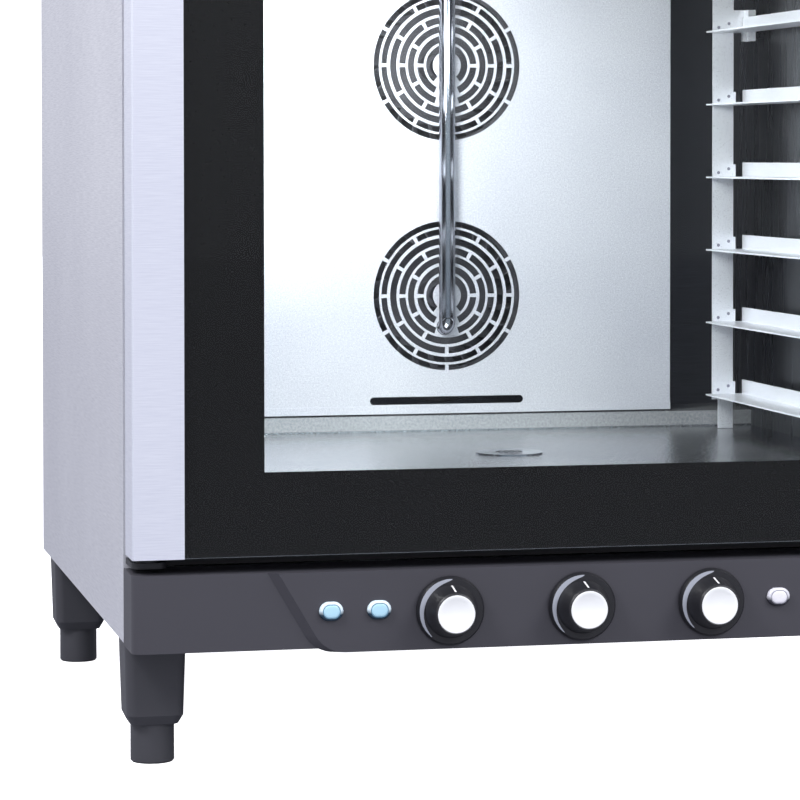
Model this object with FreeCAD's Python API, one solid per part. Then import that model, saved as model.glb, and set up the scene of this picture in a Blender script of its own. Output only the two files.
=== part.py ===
import FreeCAD, Part
import math
import os

# Combi steamer oven for six 600 x 400 mm trays, in millimetres, +Z up.
# Every sub-part is modelled from the oven's centre plane (X = 0), the cabinet's front plane (Y = 0,
# +Y towards the back) and the floor (Z = 0). save() then moves it so that the origin is the bottom
# centre of the whole oven.

# ---- cabinet
WIDTH = 785.0
DEPTH = 687.0
TOP = 834.0
PANEL_BOTTOM = 110.0
SHEET = 1.2
PANEL_RETURN = 12.0
TOP_SKIRT = 30.0
TRAY_SHEET = 1.5
TRAY_FLANGE = 25.0
FRAME_SHEET = 1.5
FRAME_BOTTOM = 176.0

# ---- feet
FOOT_TOP_SIZE = 54.0
FOOT_BOTTOM_SIZE = 50.0
FOOT_CORNER = 8.0
FOOT_BOTTOM = 35.0
FOOT_SHOULDER = 8.0
FOOT_INSET_X = 29.5
FOOT_FRONT_Y = 36.0
FOOT_REAR_Y = 617.0
ADJUSTER_RADIUS = 19.2
ADJUSTER_STEM_RADIUS = 6.0
ADJUSTER_STEM_TOP = 88.0
PAD_CHAMFER = 1.5
THREAD_CLEARANCE = 0.05

# ---- clearances
MOVING_GAP = 0.3
RUNNING_CLEARANCE = 0.05
HOLE_CLEARANCE = 0.5

# ---- cavity
CAVITY_WIDTH = 652.0
CAVITY_DEPTH = 542.3
CAVITY_FLOOR = 248.6
CAVITY_HEIGHT = 514.4
CAVITY_SHEET = 1.5
LEDGE_HEIGHT = 16.0
LEDGE_DEPTH = 10.0
INSULATION = 40.0
STUD_RADIUS = 5.0
STUD_REACH = 16.0

# ---- air circulation
BAFFLE_Y = 459.6
BAFFLE_HALF_WIDTH = 239.8
BAFFLE_SHEET = 1.5
BAFFLE_RETURN = 15.0
BAFFLE_FLOOR_GAP = 17.6
BAFFLE_CEILING_GAP = 18.0
BAFFLE_LIP = 8.0
FAN_SPACING = 236.8
SUMP_SLOT_LENGTH = 162.0
SUMP_SLOT_HEIGHT = 8.0
SUMP_SLOT_RISE = 31.0
RING_RADII = (74.2, 66.0, 56.4, 46.8, 37.8, 27.8, 18.3)
RING_WIDTHS = (5.8, 6.0, 6.8, 6.8, 6.6, 7.0, 7.2)
RING_BRIDGES = (
    (30, 90, 150, 210, 270, 330),
    (0, 60, 120, 180, 240, 300),
    (30, 90, 150, 210, 270, 330),
    (0, 60, 120, 180, 240, 300),
    (30, 150, 210, 330),
    (0, 180),
    (),
)
BRIDGE = 3.6
LAND_WIDTH = 23.6
LAND_RINGS = 3
WHEEL_RADIUS = 95.0
WHEEL_INNER_RADIUS = 62.0
WHEEL_WIDTH = 54.0
WHEEL_BACK_GAP = 15.0
WHEEL_SHEET = 1.5
WHEEL_BLADES = 24
WHEEL_HUB_RADIUS = 14.0
WHEEL_HUB_LENGTH = 30.0
WHEEL_RING_RADIUS = 76.0
WHEEL_BLADE_ANGLE = -25.0
SHAFT_RADIUS = 6.0
SHAFT_NUT_RADIUS = 10.0
HEATER_RADIUS = 108.0
HEATER_TUBE_RADIUS = 4.0
HEATER_TURNS = 3
HEATER_PITCH = 14.0
HEATER_LEG_ANGLES = (168.0, 192.0)
HEATER_LEG_TAIL = 16.0
HEATER_LEG_RADIUS = 3.9
MOTOR_RADIUS = 48.0
MOTOR_LENGTH = 70.0
MOTOR_ROUNDING = 5.0
MOTOR_FLANGE = 120.0
MOTOR_FLANGE_THICKNESS = 3.0
MOTOR_POST_RADIUS = 4.0
MOTOR_POST_OFFSET = 50.0
SPACER_RADIUS = 5.0
SPACER_X = 200.0
SPACER_EDGE = 24.0

# ---- water, steam and drain
PIPE_RADIUS = 8.4
PIPE_WALL = 1.0
PIPE_X = -2.0
PIPE_STAND_OFF = 10.0
PIPE_END_DROP = 32.0
PIPE_BEND = 14.0
PIPE_TOP_Z = 819.0
PIPE_REAR_GAP = 68.0
VALVE_X = 150.0
VALVE_Z = 240.0
VALVE_SIZE = 40.0
INLET_RADIUS = 13.2
INLET_BORE = 9.0
VALVE_REAR_GAP = 2.0
COIL_RADIUS = 16.0
STUB_REACH = 28.0
STUB_START = 4.0
STUB_STEP = 1.0
DRAIN_Y = 195.0
DRAIN_RADIUS = 16.0
DRAIN_WALL = 1.5
DRAIN_BEND = 20.0
DRAIN_Z = 185.0
STRAINER_RADIUS = 32.0
STRAINER_THICKNESS = 1.5
STRAINER_HOLE_RADIUS = 2.2
STRAINER_HOLE_PITCH = 5.5
STRAINER_HOLE_COUNTS = (1, 6, 12)
STRAINER_WALL = 1.0
STRAINER_COLLAR = 8.0
EXHAUST_X = -200.0
EXHAUST_Y = 500.0
EXHAUST_RADIUS = 20.0
EXHAUST_WALL = 1.5
EXHAUST_RISE = 24.0
LAMP_X = 200.0
LAMP_Y = 250.0
LAMP_RADIUS = 28.0
LAMP_DROP = 8.0
LAMP_ROUNDING = 6.4

# ---- door
DOOR_BOTTOM = 188.4
DOOR_TOP = 823.0
DOOR_GAP = 12.0
DOOR_THICKNESS = 49.0
STILE_WIDTH = 44.6
STILE_SHEET = 1.5
STILE_RADIUS = 2.5
OUTER_GLASS = 5.0
INNER_GLASS = 4.0
GLASS_CHAMFER = 0.6
GLASS_GAP = 0.4
RAIL_SHEET = 1.5
RAIL_FRONT_FLANGE = 30.0
RAIL_REAR_FLANGE = 18.0
RAIL_LEDGE = 20.0
INNER_GLASS_MARGIN = 21.0
GASKET_INNER_MARGIN = 4.0
GASKET_WIDTH = 14.0
GASKET_ROUNDING = 4.0
HINGE_X_INSET = 16.0
HINGE_Y = -36.0
HINGE_PIN_RADIUS = 5.0
HINGE_PIN_LENGTH = 14.0
HINGE_PLATE = 5.0
HINGE_REACH = 46.0
HINGE_WIDTH = 30.0
HINGE_LEG = 40.0
HINGE_COLLAR_RADIUS = 9.0
HINGE_COLLAR_HEIGHT = 4.0
HINGE_OFFSET = 1.0
BUSH_RADIUS = 10.0
BUSH_LENGTH = 17.0
HANDLE_RADIUS = 11.0
HANDLE_STAND_OFF = 45.0
HANDLE_BOTTOM = 330.0
HANDLE_LENGTH = 360.0
HANDLE_POST_RADIUS = 8.0
HANDLE_POST_INSET = 40.0
HANDLE_ROUNDING = 5.5
CATCH_WIDTH = 18.0
CATCH_HEIGHT = 60.0

# ---- racks
RUNNERS = 6
RUNNER_PITCH = 75.0
FIRST_RUNNER = 285.0
RACK_SHEET = 1.5
RACK_WALL_GAP = 22.0
LIP_WIDTH = 40.0
FLANGE_HEIGHT = 14.5
TAB_HEIGHT = 12.5
TAB_OVERHANG = 2.0
RUNNER_FRONT = 25.0
RUNNER_REAR = 412.0
POST_WIDTH = 22.5
POST_RETURN = 15.0
POST_INSET = 33.0
POST_FOOT_INSET = 6.5
POST_FOOT_HEIGHT = 30.0
RELIEF_LENGTH = 2.5
POST_TOP_MARGIN = 65.0
RACK_FLOOR_GAP = 0.5
HOOK_BELOW_TOP = 40.0
HOOK_HEIGHT = 24.0
HOOK_DROP = 8.0
HOOK_THICKNESS = 8.0

# ---- control fascia
FASCIA_TOP = 174.9
FASCIA_BOTTOM = 108.4
FASCIA_FRONT = -61.0
FASCIA_WALL = 3.0
FASCIA_CORNER = 10.0
BULGE_DEPTH = 5.0
BULGE_BOTTOM = 105.1
BULGE_TOP_HALF = 277.0
BULGE_BOTTOM_HALF = 236.0
BULGE_SLOPE = 9.0
BULGE_CORNER = 30.0
KEEL_INSET = 17.2
KNOB_PITCH = 118.1
KNOB_Z = 138.5
KNOB_SKIRT_RADIUS = 30.0
KNOB_SKIRT_HEIGHT = 6.0
KNOB_GRIP_RADIUS = 23.0
KNOB_CAP_RADIUS = 17.0
KNOB_HEIGHT = 27.0
KNOB_HUB_DEPTH = 14.0
KNOB_SKIRT_SLOPE = 2.0
KNOB_GROOVE = 1.5
KNOB_CAP_EDGE = 1.0
SPINDLE_RADIUS = 3.0
SPINDLE_HOLE_RADIUS = 6.0
SPINDLE_END_GAP = 6.0
REGULATOR_SIZE = 40.0
REGULATOR_DEPTH = 36.0
REGULATOR_FLOOR_GAP = 2.0
OVAL_Z = 141.0
OVAL_NEAR_X = 180.5
OVAL_FAR_X = 222.5
OVAL_LENGTH = 21.5
OVAL_HEIGHT = 16.5
OVAL_PROUD = 4.0
OVAL_ROUNDING = 2.5
BUTTON_TRAVEL = 3.0
BUTTON_STEM_LENGTH = 14.0
BUTTON_STEM_RADIUS = 4.0
LAMP_BODY_DEPTH = 16.0
SWITCH_MARGIN = 2.0
SWITCH_DEPTH = 28.0

# ---- rear services
VENT_X = -300.0
VENT_Z = 165.0
VENT_SIZE = 92.0
VENT_DEPTH = 25.0
VENT_BORE_RADIUS = 42.0
VENT_ROTOR_RADIUS = 40.0
VENT_HUB_RADIUS = 17.0
VENT_BLADES = 7
VENT_PIN_RADIUS = 3.0
VENT_STRUT = 4.0
VENT_FRONT_GAP = 2.0
VENT_BLADE_SHEET = 1.6
VENT_BLADE_ANGLE = 40.0
GLAND_X = 300.0
GLAND_Z = 160.0
GLAND_RADIUS = 14.0
GLAND_BORE_RADIUS = 8.0
GLAND_NUT = 7.0
GLAND_STEP = 2.0
GLAND_DOME = 18.0
GLAND_NECK = 12.0
LOUVRE_WIDTH = 160.0
LOUVRE_HEIGHT = 5.0
LOUVRE_PITCH = 14.0
LOUVRES = 6
SCREW_HEAD_RADIUS = 4.5
SCREW_HEAD_HEIGHT = 2.5
SCREW_RADIUS = 2.0
SCREW_LENGTH = 8.0

# ---- places that follow from the sizes above
HALF = WIDTH / 2
INNER_HALF = HALF - SHEET
REAR_PLANE = DEPTH - 2 * SHEET
FRAME_FRONT = SHEET
FRAME_BACK = FRAME_FRONT + FRAME_SHEET
CAVITY_HALF = CAVITY_WIDTH / 2
CAVITY_CEILING = CAVITY_FLOOR + CAVITY_HEIGHT
CAVITY_MIDDLE = CAVITY_FLOOR + CAVITY_HEIGHT / 2
CAVITY_BACK = FRAME_BACK + CAVITY_DEPTH
FAN_HEIGHTS = {
    "lower": CAVITY_MIDDLE - FAN_SPACING / 2,
    "upper": CAVITY_MIDDLE + FAN_SPACING / 2,
}
WHEEL_BACK = CAVITY_BACK - WHEEL_BACK_GAP
WHEEL_FRONT = WHEEL_BACK - WHEEL_WIDTH
MOTOR_FRONT = CAVITY_BACK + CAVITY_SHEET + INSULATION + MOVING_GAP
PIPE_Y = BAFFLE_Y - PIPE_STAND_OFF
PIPE_END_Z = FAN_HEIGHTS["lower"] - PIPE_END_DROP
PIPE_REAR_Y = REAR_PLANE - PIPE_REAR_GAP
DOOR_BACK = -DOOR_GAP
DOOR_FRONT = DOOR_BACK - DOOR_THICKNESS
GLASS_HALF = HALF - STILE_WIDTH - GLASS_GAP
HINGE_X = -HALF + HINGE_X_INSET
HINGE_LEFT = HINGE_X - HINGE_WIDTH / 2 + HINGE_OFFSET
HINGE_RIGHT = HINGE_LEFT + HINGE_WIDTH
HANDLE_X = HALF - STILE_WIDTH / 2
HANDLE_Y = DOOR_FRONT - HANDLE_STAND_OFF
BULGE_FRONT = FASCIA_FRONT - BULGE_DEPTH
BULGE_INNER = BULGE_FRONT + FASCIA_WALL
KNOB_FRONT = BULGE_FRONT - KNOB_HEIGHT
KNOB_XS = {"temperature": -KNOB_PITCH, "time": 0.0, "steam": KNOB_PITCH}
RUNNER_HALF_SPAN = CAVITY_HALF - RACK_WALL_GAP
POST_INNER_X = RUNNER_HALF_SPAN - POST_INSET
RACK_TOP = CAVITY_CEILING - POST_TOP_MARGIN
STUD_Z = RACK_TOP - HOOK_BELOW_TOP
STUD_YS = (RUNNER_FRONT + POST_WIDTH / 2, RUNNER_REAR)
VENT_FRONT = REAR_PLANE - VENT_DEPTH
EXHAUST_TOP = TOP + EXHAUST_RISE
INLET_NECK = INLET_RADIUS - STUB_STEP
DRAIN_STUB = DRAIN_RADIUS + STUB_STEP
EXHAUST_STUB = EXHAUST_RADIUS + STUB_STEP
ORIGIN_Y = (DEPTH + STUB_REACH + HANDLE_Y - HANDLE_RADIUS) / 2
FEET = {
    "front_left": (-HALF + FOOT_INSET_X, FOOT_FRONT_Y),
    "front_right": (HALF - FOOT_INSET_X, FOOT_FRONT_Y),
    "rear_left": (-HALF + FOOT_INSET_X, FOOT_REAR_Y),
    "rear_right": (HALF - FOOT_INSET_X, FOOT_REAR_Y),
}

X_AXIS = FreeCAD.Vector(1, 0, 0)
Y_AXIS = FreeCAD.Vector(0, 1, 0)
Z_AXIS = FreeCAD.Vector(0, 0, 1)


# ---- helpers
def point(x, y, z):
    return FreeCAD.Vector(x, y, z)


def box(x0, x1, y0, y1, z0, z1):
    return Part.makeBox(x1 - x0, y1 - y0, z1 - z0, point(x0, y0, z0))


def rod(radius, start, axis, length):
    return Part.makeCylinder(radius, length, start, axis)


def tube(outer, inner, start, axis, length):
    return rod(outer, start, axis, length).cut(rod(inner, start, axis, length))


def joined(shapes):
    return shapes[0].multiFuse(shapes[1:]).removeSplitter()


def mirrored(shape):
    return shape.mirror(point(0, 0, 0), X_AXIS)


def turned(shape, centre, axis, degrees):
    copy = shape.copy()
    copy.rotate(centre, axis, degrees)
    return copy


def rounded_square(size, corner, z):
    """A closed wire: a square with arc corners, centred on the Z axis at height z."""
    half = size / 2
    flat = half - corner
    tip = corner * (1 - math.sqrt(0.5))
    quarter = [
        Part.Arc(point(half, flat, z), point(half - tip, half - tip, z), point(flat, half, z)).toShape(),
        Part.LineSegment(point(flat, half, z), point(-flat, half, z)).toShape(),
    ]
    edges = []
    for step in range(4):
        edges += [turned(edge, point(0, 0, z), Z_AXIS, 90 * step) for edge in quarter]
    return Part.Wire(edges)


def oval(length, height, x, y0, y1, z):
    """A prism along Y with a stadium outline, length along X."""
    reach = (length - height) / 2
    radius = height / 2
    low = [point(x - reach, y0, z - radius), point(x + reach, y0, z - radius)]
    high = [point(x + reach, y0, z + radius), point(x - reach, y0, z + radius)]
    edges = [
        Part.LineSegment(low[0], low[1]).toShape(),
        Part.Arc(low[1], point(x + reach + radius, y0, z), high[0]).toShape(),
        Part.LineSegment(high[0], high[1]).toShape(),
        Part.Arc(high[1], point(x - reach - radius, y0, z), low[0]).toShape(),
    ]
    return Part.Face(Part.Wire(edges)).extrude(point(0, y1 - y0, 0))


def revolved(profile, centre):
    """A solid of revolution about the Y direction through centre, from (radius, y) points."""
    points = [point(centre.x + radius, y, centre.z) for radius, y in profile]
    face = Part.Face(Part.makePolygon(points + points[:1]))
    return face.revolve(point(centre.x, 0, centre.z), Y_AXIS, 360)


def route_wire(points, bend):
    """Straight runs between points, joined by tangent arcs of radius bend."""
    edges = []
    start = points[0]
    for before, corner, after in zip(points, points[1:], points[2:]):
        back = (before - corner).normalize()
        ahead = (after - corner).normalize()
        half_angle = back.getAngle(ahead) / 2
        trim = bend / math.tan(half_angle)
        middle = (back + ahead).normalize()
        arc_mid = corner + middle * (bend / math.sin(half_angle) - bend)
        arc_start = corner + back * trim
        arc_end = corner + ahead * trim
        edges.append(Part.LineSegment(start, arc_start).toShape())
        edges.append(Part.Arc(arc_start, arc_mid, arc_end).toShape())
        start = arc_end
    edges.append(Part.LineSegment(start, points[-1]).toShape())
    return Part.Wire(edges)


def bent_tube(points, bend, outer, inner):
    """A round tube that follows a route."""
    path = route_wire(points, bend)
    along = points[1] - points[0]
    solids = []
    for radius in (outer, inner):
        ring = Part.Wire(Part.makeCircle(radius, points[0], along))
        solids.append(path.makePipeShell([ring], True, False))
    return solids[0].cut(solids[1])


def save(name, shape):
    shape = shape.copy()
    shape.translate(point(0, -ORIGIN_Y, 0))
    shape.exportStep(os.path.join("parts", name + ".step"))


# ---- cabinet
def side_panel():
    """Left side: a sheet with its front and rear edges returned inwards."""
    outer = box(-HALF, -INNER_HALF, 0, DEPTH, PANEL_BOTTOM, TOP - SHEET)
    reach = -HALF + PANEL_RETURN
    front = box(-HALF, reach, 0, SHEET, PANEL_BOTTOM, TOP - SHEET)
    rear = box(-HALF, reach, DEPTH - SHEET, DEPTH, PANEL_BOTTOM, TOP - SHEET)
    return joined([outer, front, rear])


def top_panel():
    """Lid with front and rear skirts, a hole for the exhaust and a notch for the upper hinge."""
    reach = HALF - PANEL_RETURN - GLASS_GAP
    lid = box(-HALF, HALF, 0, DEPTH, TOP - SHEET, TOP)
    front = box(-reach, reach, 0, SHEET, TOP - TOP_SKIRT, TOP - SHEET)
    rear = box(-reach, reach, DEPTH - SHEET, DEPTH, TOP - TOP_SKIRT, TOP - SHEET)
    hole = rod(EXHAUST_STUB + HOLE_CLEARANCE, point(EXHAUST_X, EXHAUST_Y, TOP - TOP_SKIRT), Z_AXIS, TOP)
    notch = box(-HALF, HINGE_RIGHT + GLASS_GAP, -SHEET, 2 * SHEET, TOP - TOP_SKIRT, TOP - SHEET)
    return joined([lid, front, rear]).cut(hole).cut(notch)


def vent_slots(x, z, width, count, y0, y1):
    """Horizontal ventilation slots stacked about height z."""
    first = z - LOUVRE_PITCH * (count - 1) / 2
    slots = [
        oval(width, LOUVRE_HEIGHT, x, y0, y1, first + LOUVRE_PITCH * index)
        for index in range(count)
    ]
    return Part.makeCompound(slots)


def back_panel():
    """Rear cover with louvres for the motors, the cooling fan's grille and the service holes."""
    y0 = REAR_PLANE
    y1 = REAR_PLANE + SHEET
    sheet = box(-INNER_HALF, INNER_HALF, y0, y1, PANEL_BOTTOM + TRAY_SHEET, TOP - SHEET)
    cuts = [
        vent_slots(0, FAN_HEIGHTS["lower"], LOUVRE_WIDTH, LOUVRES, y0 - 1, y1 + 1),
        vent_slots(0, FAN_HEIGHTS["upper"], LOUVRE_WIDTH, LOUVRES, y0 - 1, y1 + 1),
        vent_slots(VENT_X, VENT_Z, VENT_SIZE - 2 * LOUVRE_PITCH, LOUVRES - 1, y0 - 1, y1 + 1),
        rod(DRAIN_STUB + HOLE_CLEARANCE, point(0, y0 - 1, DRAIN_Z), Y_AXIS, SHEET + 2),
        rod(INLET_RADIUS + HOLE_CLEARANCE, point(VALVE_X, y0 - 1, VALVE_Z), Y_AXIS, SHEET + 2),
        rod(GLAND_RADIUS - FASCIA_WALL, point(GLAND_X, y0 - 1, GLAND_Z), Y_AXIS, SHEET + 2),
    ]
    for x, z in screw_places():
        cuts.append(rod(SCREW_RADIUS, point(x, y0 - 1, z), Y_AXIS, SHEET + 2))
    return sheet.cut(Part.makeCompound(cuts))


def base_tray():
    """Floor of the control compartment, with its sides turned up inside the side panels."""
    floor = box(-INNER_HALF, INNER_HALF, FRAME_BACK, REAR_PLANE, PANEL_BOTTOM, PANEL_BOTTOM + TRAY_SHEET)
    flange = box(-INNER_HALF, -INNER_HALF + TRAY_SHEET, FRAME_BACK, REAR_PLANE,
                 PANEL_BOTTOM, PANEL_BOTTOM + TRAY_FLANGE)
    return joined([floor, flange, mirrored(flange)])


def front_frame():
    """Face plate round the cavity's mouth."""
    plate = box(-INNER_HALF, INNER_HALF, FRAME_FRONT, FRAME_BACK, FRAME_BOTTOM, TOP - SHEET)
    mouth = box(-CAVITY_HALF, CAVITY_HALF, FRAME_FRONT - 1, FRAME_BACK + 1, CAVITY_FLOOR, CAVITY_CEILING)
    return plate.cut(mouth)


def screw_places():
    """X and Z of the screws that hold the rear cover."""
    reach = INNER_HALF - PANEL_RETURN - 2 * SCREW_HEAD_RADIUS
    low = PANEL_BOTTOM + TRAY_FLANGE
    high = TOP - TOP_SKIRT - 2 * SCREW_HEAD_RADIUS
    middle = (low + high) / 2
    return [(side * reach, z) for side in (-1, 1) for z in (low, middle, high)]


def panel_screws():
    """Pan-head screws of the rear cover, one solid each."""
    face = REAR_PLANE + SHEET
    screws = []
    for x, z in screw_places():
        shank = rod(SCREW_RADIUS, point(x, face - SCREW_LENGTH, z), Y_AXIS, SCREW_LENGTH)
        head = rod(SCREW_HEAD_RADIUS, point(x, face, z), Y_AXIS, SCREW_HEAD_HEIGHT)
        head = head.makeFillet(SCREW_HEAD_HEIGHT / 2, [edge for edge in head.Edges
                               if edge.BoundBox.YMin > face + SCREW_HEAD_HEIGHT / 2])
        screws.append(shank.fuse(head))
    return Part.makeCompound(screws)


# ---- feet
def foot_body(x, y):
    """Tapered square foot with a rounded shoulder and a threaded bore."""
    shoulder = FOOT_BOTTOM + FOOT_SHOULDER
    tip = FOOT_BOTTOM_SIZE - FOOT_SHOULDER
    upper = Part.makeLoft([rounded_square(FOOT_BOTTOM_SIZE, FOOT_CORNER, shoulder),
                           rounded_square(FOOT_TOP_SIZE, FOOT_CORNER, PANEL_BOTTOM)], True)
    lower = Part.makeLoft([rounded_square(tip, FOOT_CORNER, FOOT_BOTTOM),
                           rounded_square(FOOT_BOTTOM_SIZE, FOOT_CORNER, shoulder)], True)
    bore = rod(ADJUSTER_STEM_RADIUS + THREAD_CLEARANCE, point(0, 0, FOOT_BOTTOM - 1), Z_AXIS,
               ADJUSTER_STEM_TOP + 2 - FOOT_BOTTOM)
    foot = upper.fuse(lower).cut(bore)
    foot.translate(point(x, y, 0))
    return foot


def foot_adjuster(x, y):
    """Levelling foot: a round pad on a threaded stem."""
    pad_top = FOOT_BOTTOM - MOVING_GAP
    pad = rod(ADJUSTER_RADIUS, point(x, y, 0), Z_AXIS, pad_top)
    pad = pad.makeChamfer(PAD_CHAMFER, [edge for edge in pad.Edges if edge.BoundBox.ZMax < 1])
    stem = rod(ADJUSTER_STEM_RADIUS, point(x, y, 0), Z_AXIS, ADJUSTER_STEM_TOP)
    return pad.fuse(stem)


# ---- cavity
def wall_stud(side, y):
    return rod(STUD_RADIUS, point(side * CAVITY_HALF, y, STUD_Z), point(-side, 0, 0), STUD_REACH)


def cavity_wrap():
    """Sides and ceiling of the cooking chamber, with the studs that the racks hang on."""
    sheet = CAVITY_SHEET
    left = box(-CAVITY_HALF - sheet, -CAVITY_HALF, FRAME_BACK, CAVITY_BACK, CAVITY_FLOOR, CAVITY_CEILING)
    ceiling = box(-CAVITY_HALF - sheet, CAVITY_HALF + sheet, FRAME_BACK, CAVITY_BACK,
                  CAVITY_CEILING, CAVITY_CEILING + sheet)
    studs = [wall_stud(side, y) for side in (-1, 1) for y in STUD_YS]
    holes = Part.makeCompound([
        rod(EXHAUST_RADIUS, point(EXHAUST_X, EXHAUST_Y, CAVITY_CEILING - 1), Z_AXIS, sheet + 2),
        rod(PIPE_RADIUS, point(PIPE_X, PIPE_Y, CAVITY_CEILING - 1), Z_AXIS, sheet + 2),
        rod(LAMP_RADIUS, point(LAMP_X, LAMP_Y, CAVITY_CEILING - 1), Z_AXIS, sheet + 2),
    ])
    return joined([left, mirrored(left), ceiling] + studs).cut(holes)


def cavity_floor():
    """Floor pan with the drain hole, and the bent ledge welded on it under the air guide."""
    reach = CAVITY_HALF + CAVITY_SHEET
    floor = box(-reach, reach, FRAME_BACK, CAVITY_BACK, CAVITY_FLOOR - CAVITY_SHEET, CAVITY_FLOOR)
    front = BAFFLE_Y - LEDGE_DEPTH
    top = CAVITY_FLOOR + LEDGE_HEIGHT
    riser = box(-CAVITY_HALF, CAVITY_HALF, front, front + CAVITY_SHEET, CAVITY_FLOOR, top)
    ledge = box(-CAVITY_HALF, CAVITY_HALF, front, CAVITY_BACK, top - CAVITY_SHEET, top)
    drain = rod(DRAIN_RADIUS, point(0, DRAIN_Y, CAVITY_FLOOR - 2 * CAVITY_SHEET), Z_AXIS, 3 * CAVITY_SHEET)
    return Part.makeCompound([floor.cut(drain), joined([riser, ledge])])


def through_back(y0, y1, clearance):
    """Everything that passes through the chamber's rear wall, widened by a clearance."""
    shapes = []
    for z in FAN_HEIGHTS.values():
        shapes.append(rod(SHAFT_RADIUS + 2 * clearance, point(0, y0, z), Y_AXIS, y1 - y0))
        for angle in HEATER_LEG_ANGLES:
            leg = heater_leg_place(angle, z)
            shapes.append(rod(HEATER_TUBE_RADIUS + clearance, point(leg.x, y0, leg.z), Y_AXIS, y1 - y0))
    return shapes


def cavity_back():
    """Rear wall of the cooking chamber, with holes for the shafts and heater legs."""
    reach = CAVITY_HALF + CAVITY_SHEET
    wall = box(-reach, reach, CAVITY_BACK, CAVITY_BACK + CAVITY_SHEET,
               CAVITY_FLOOR - CAVITY_SHEET, CAVITY_CEILING + CAVITY_SHEET)
    holes = through_back(CAVITY_BACK - 1, CAVITY_BACK + CAVITY_SHEET + 1, HOLE_CLEARANCE)
    return wall.cut(Part.makeCompound(holes))


def insulation():
    """Five mineral-wool slabs round the cooking chamber."""
    inner = CAVITY_HALF + CAVITY_SHEET
    outer = inner + INSULATION
    low = CAVITY_FLOOR - CAVITY_SHEET
    high = CAVITY_CEILING + CAVITY_SHEET
    back = CAVITY_BACK + CAVITY_SHEET
    left = box(-outer, -inner, FRAME_BACK, back, low - INSULATION, high + INSULATION)
    ceiling = box(-inner, inner, FRAME_BACK, back, high, high + INSULATION)
    floor = box(-inner, inner, FRAME_BACK, back, low - INSULATION, low)
    rear = box(-inner, inner, back, back + INSULATION, low, high)
    ceiling = ceiling.cut(Part.makeCompound([
        rod(EXHAUST_RADIUS + HOLE_CLEARANCE, point(EXHAUST_X, EXHAUST_Y, high), Z_AXIS, INSULATION),
        rod(PIPE_RADIUS + HOLE_CLEARANCE, point(PIPE_X, PIPE_Y, high), Z_AXIS, INSULATION),
        rod(LAMP_RADIUS + HOLE_CLEARANCE, point(LAMP_X, LAMP_Y, high), Z_AXIS, INSULATION),
    ]))
    floor = floor.cut(rod(DRAIN_RADIUS + HOLE_CLEARANCE, point(0, DRAIN_Y, low - INSULATION), Z_AXIS,
                          INSULATION))
    holes = through_back(back, back + INSULATION, HOLE_CLEARANCE)
    for z in FAN_HEIGHTS.values():
        for x, offset in motor_post_places():
            holes.append(rod(MOTOR_POST_RADIUS + HOLE_CLEARANCE, point(x, back, z + offset), Y_AXIS,
                             INSULATION))
    rear = rear.cut(Part.makeCompound(holes))
    return Part.makeCompound([left, mirrored(left), ceiling, floor, rear])


# ---- air circulation
def ring_slot(centre, radius, width, start, end, y0, y1):
    """A curved slot between two angles (degrees), cut along Y."""
    inner = radius - width / 2
    outer = radius + width / 2
    middle = (start + end) / 2

    def at(distance, angle):
        turn = math.radians(angle)
        return point(centre.x + distance * math.cos(turn), y0, centre.z + distance * math.sin(turn))

    edges = [
        Part.Arc(at(outer, start), at(outer, middle), at(outer, end)).toShape(),
        Part.LineSegment(at(outer, end), at(inner, end)).toShape(),
        Part.Arc(at(inner, end), at(inner, middle), at(inner, start)).toShape(),
        Part.LineSegment(at(inner, start), at(outer, start)).toShape(),
    ]
    return Part.Face(Part.Wire(edges)).extrude(point(0, y1 - y0, 0))


def grille_cuts(centre, y0, y1):
    """Seven rings of curved slots, with a solid land below the centre of the inner rings."""
    cuts = []
    for index, (radius, width) in enumerate(zip(RING_RADII, RING_WIDTHS)):
        gaps = [(angle, BRIDGE) for angle in RING_BRIDGES[index]]
        if index >= len(RING_RADII) - LAND_RINGS:
            gaps.append((270, LAND_WIDTH))
        gaps.sort()
        for (angle, gap), (following, following_gap) in zip(gaps, gaps[1:] + gaps[:1]):
            start = angle + math.degrees(math.asin(gap / 2 / radius))
            end = following - math.degrees(math.asin(following_gap / 2 / radius))
            if end <= start:
                end += 360
            cuts.append(ring_slot(centre, radius, width, start, end, y0, y1))
    return cuts


def fan_baffle():
    """Air guide in front of the fans: two slotted inlet grilles, a sump slot and returned edges."""
    y0 = BAFFLE_Y
    y1 = BAFFLE_Y + BAFFLE_SHEET
    low = CAVITY_FLOOR + BAFFLE_FLOOR_GAP
    high = CAVITY_CEILING - BAFFLE_CEILING_GAP
    half = BAFFLE_HALF_WIDTH
    sheet = box(-half, half, y0, y1, low, high)
    lip = box(-half, half, y0 - BAFFLE_SHEET, y0, low, low + BAFFLE_LIP)
    left = box(-half, -half + BAFFLE_SHEET, y0, y0 + BAFFLE_RETURN, low, high)
    slot_z = CAVITY_FLOOR + SUMP_SLOT_RISE
    cuts = [oval(SUMP_SLOT_LENGTH, SUMP_SLOT_HEIGHT, 0, y0 - 1, y1 + 1, slot_z)]
    for z in FAN_HEIGHTS.values():
        cuts += grille_cuts(point(0, 0, z), y0 - 1, y1 + 1)
    pipe_end = point(PIPE_X, y0 - 1, PIPE_END_Z)
    cuts.append(rod(PIPE_RADIUS + HOLE_CLEARANCE, pipe_end, Y_AXIS, BAFFLE_SHEET + 2))
    return joined([sheet, lip, left, mirrored(left)]).cut(Part.makeCompound(cuts))


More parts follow.
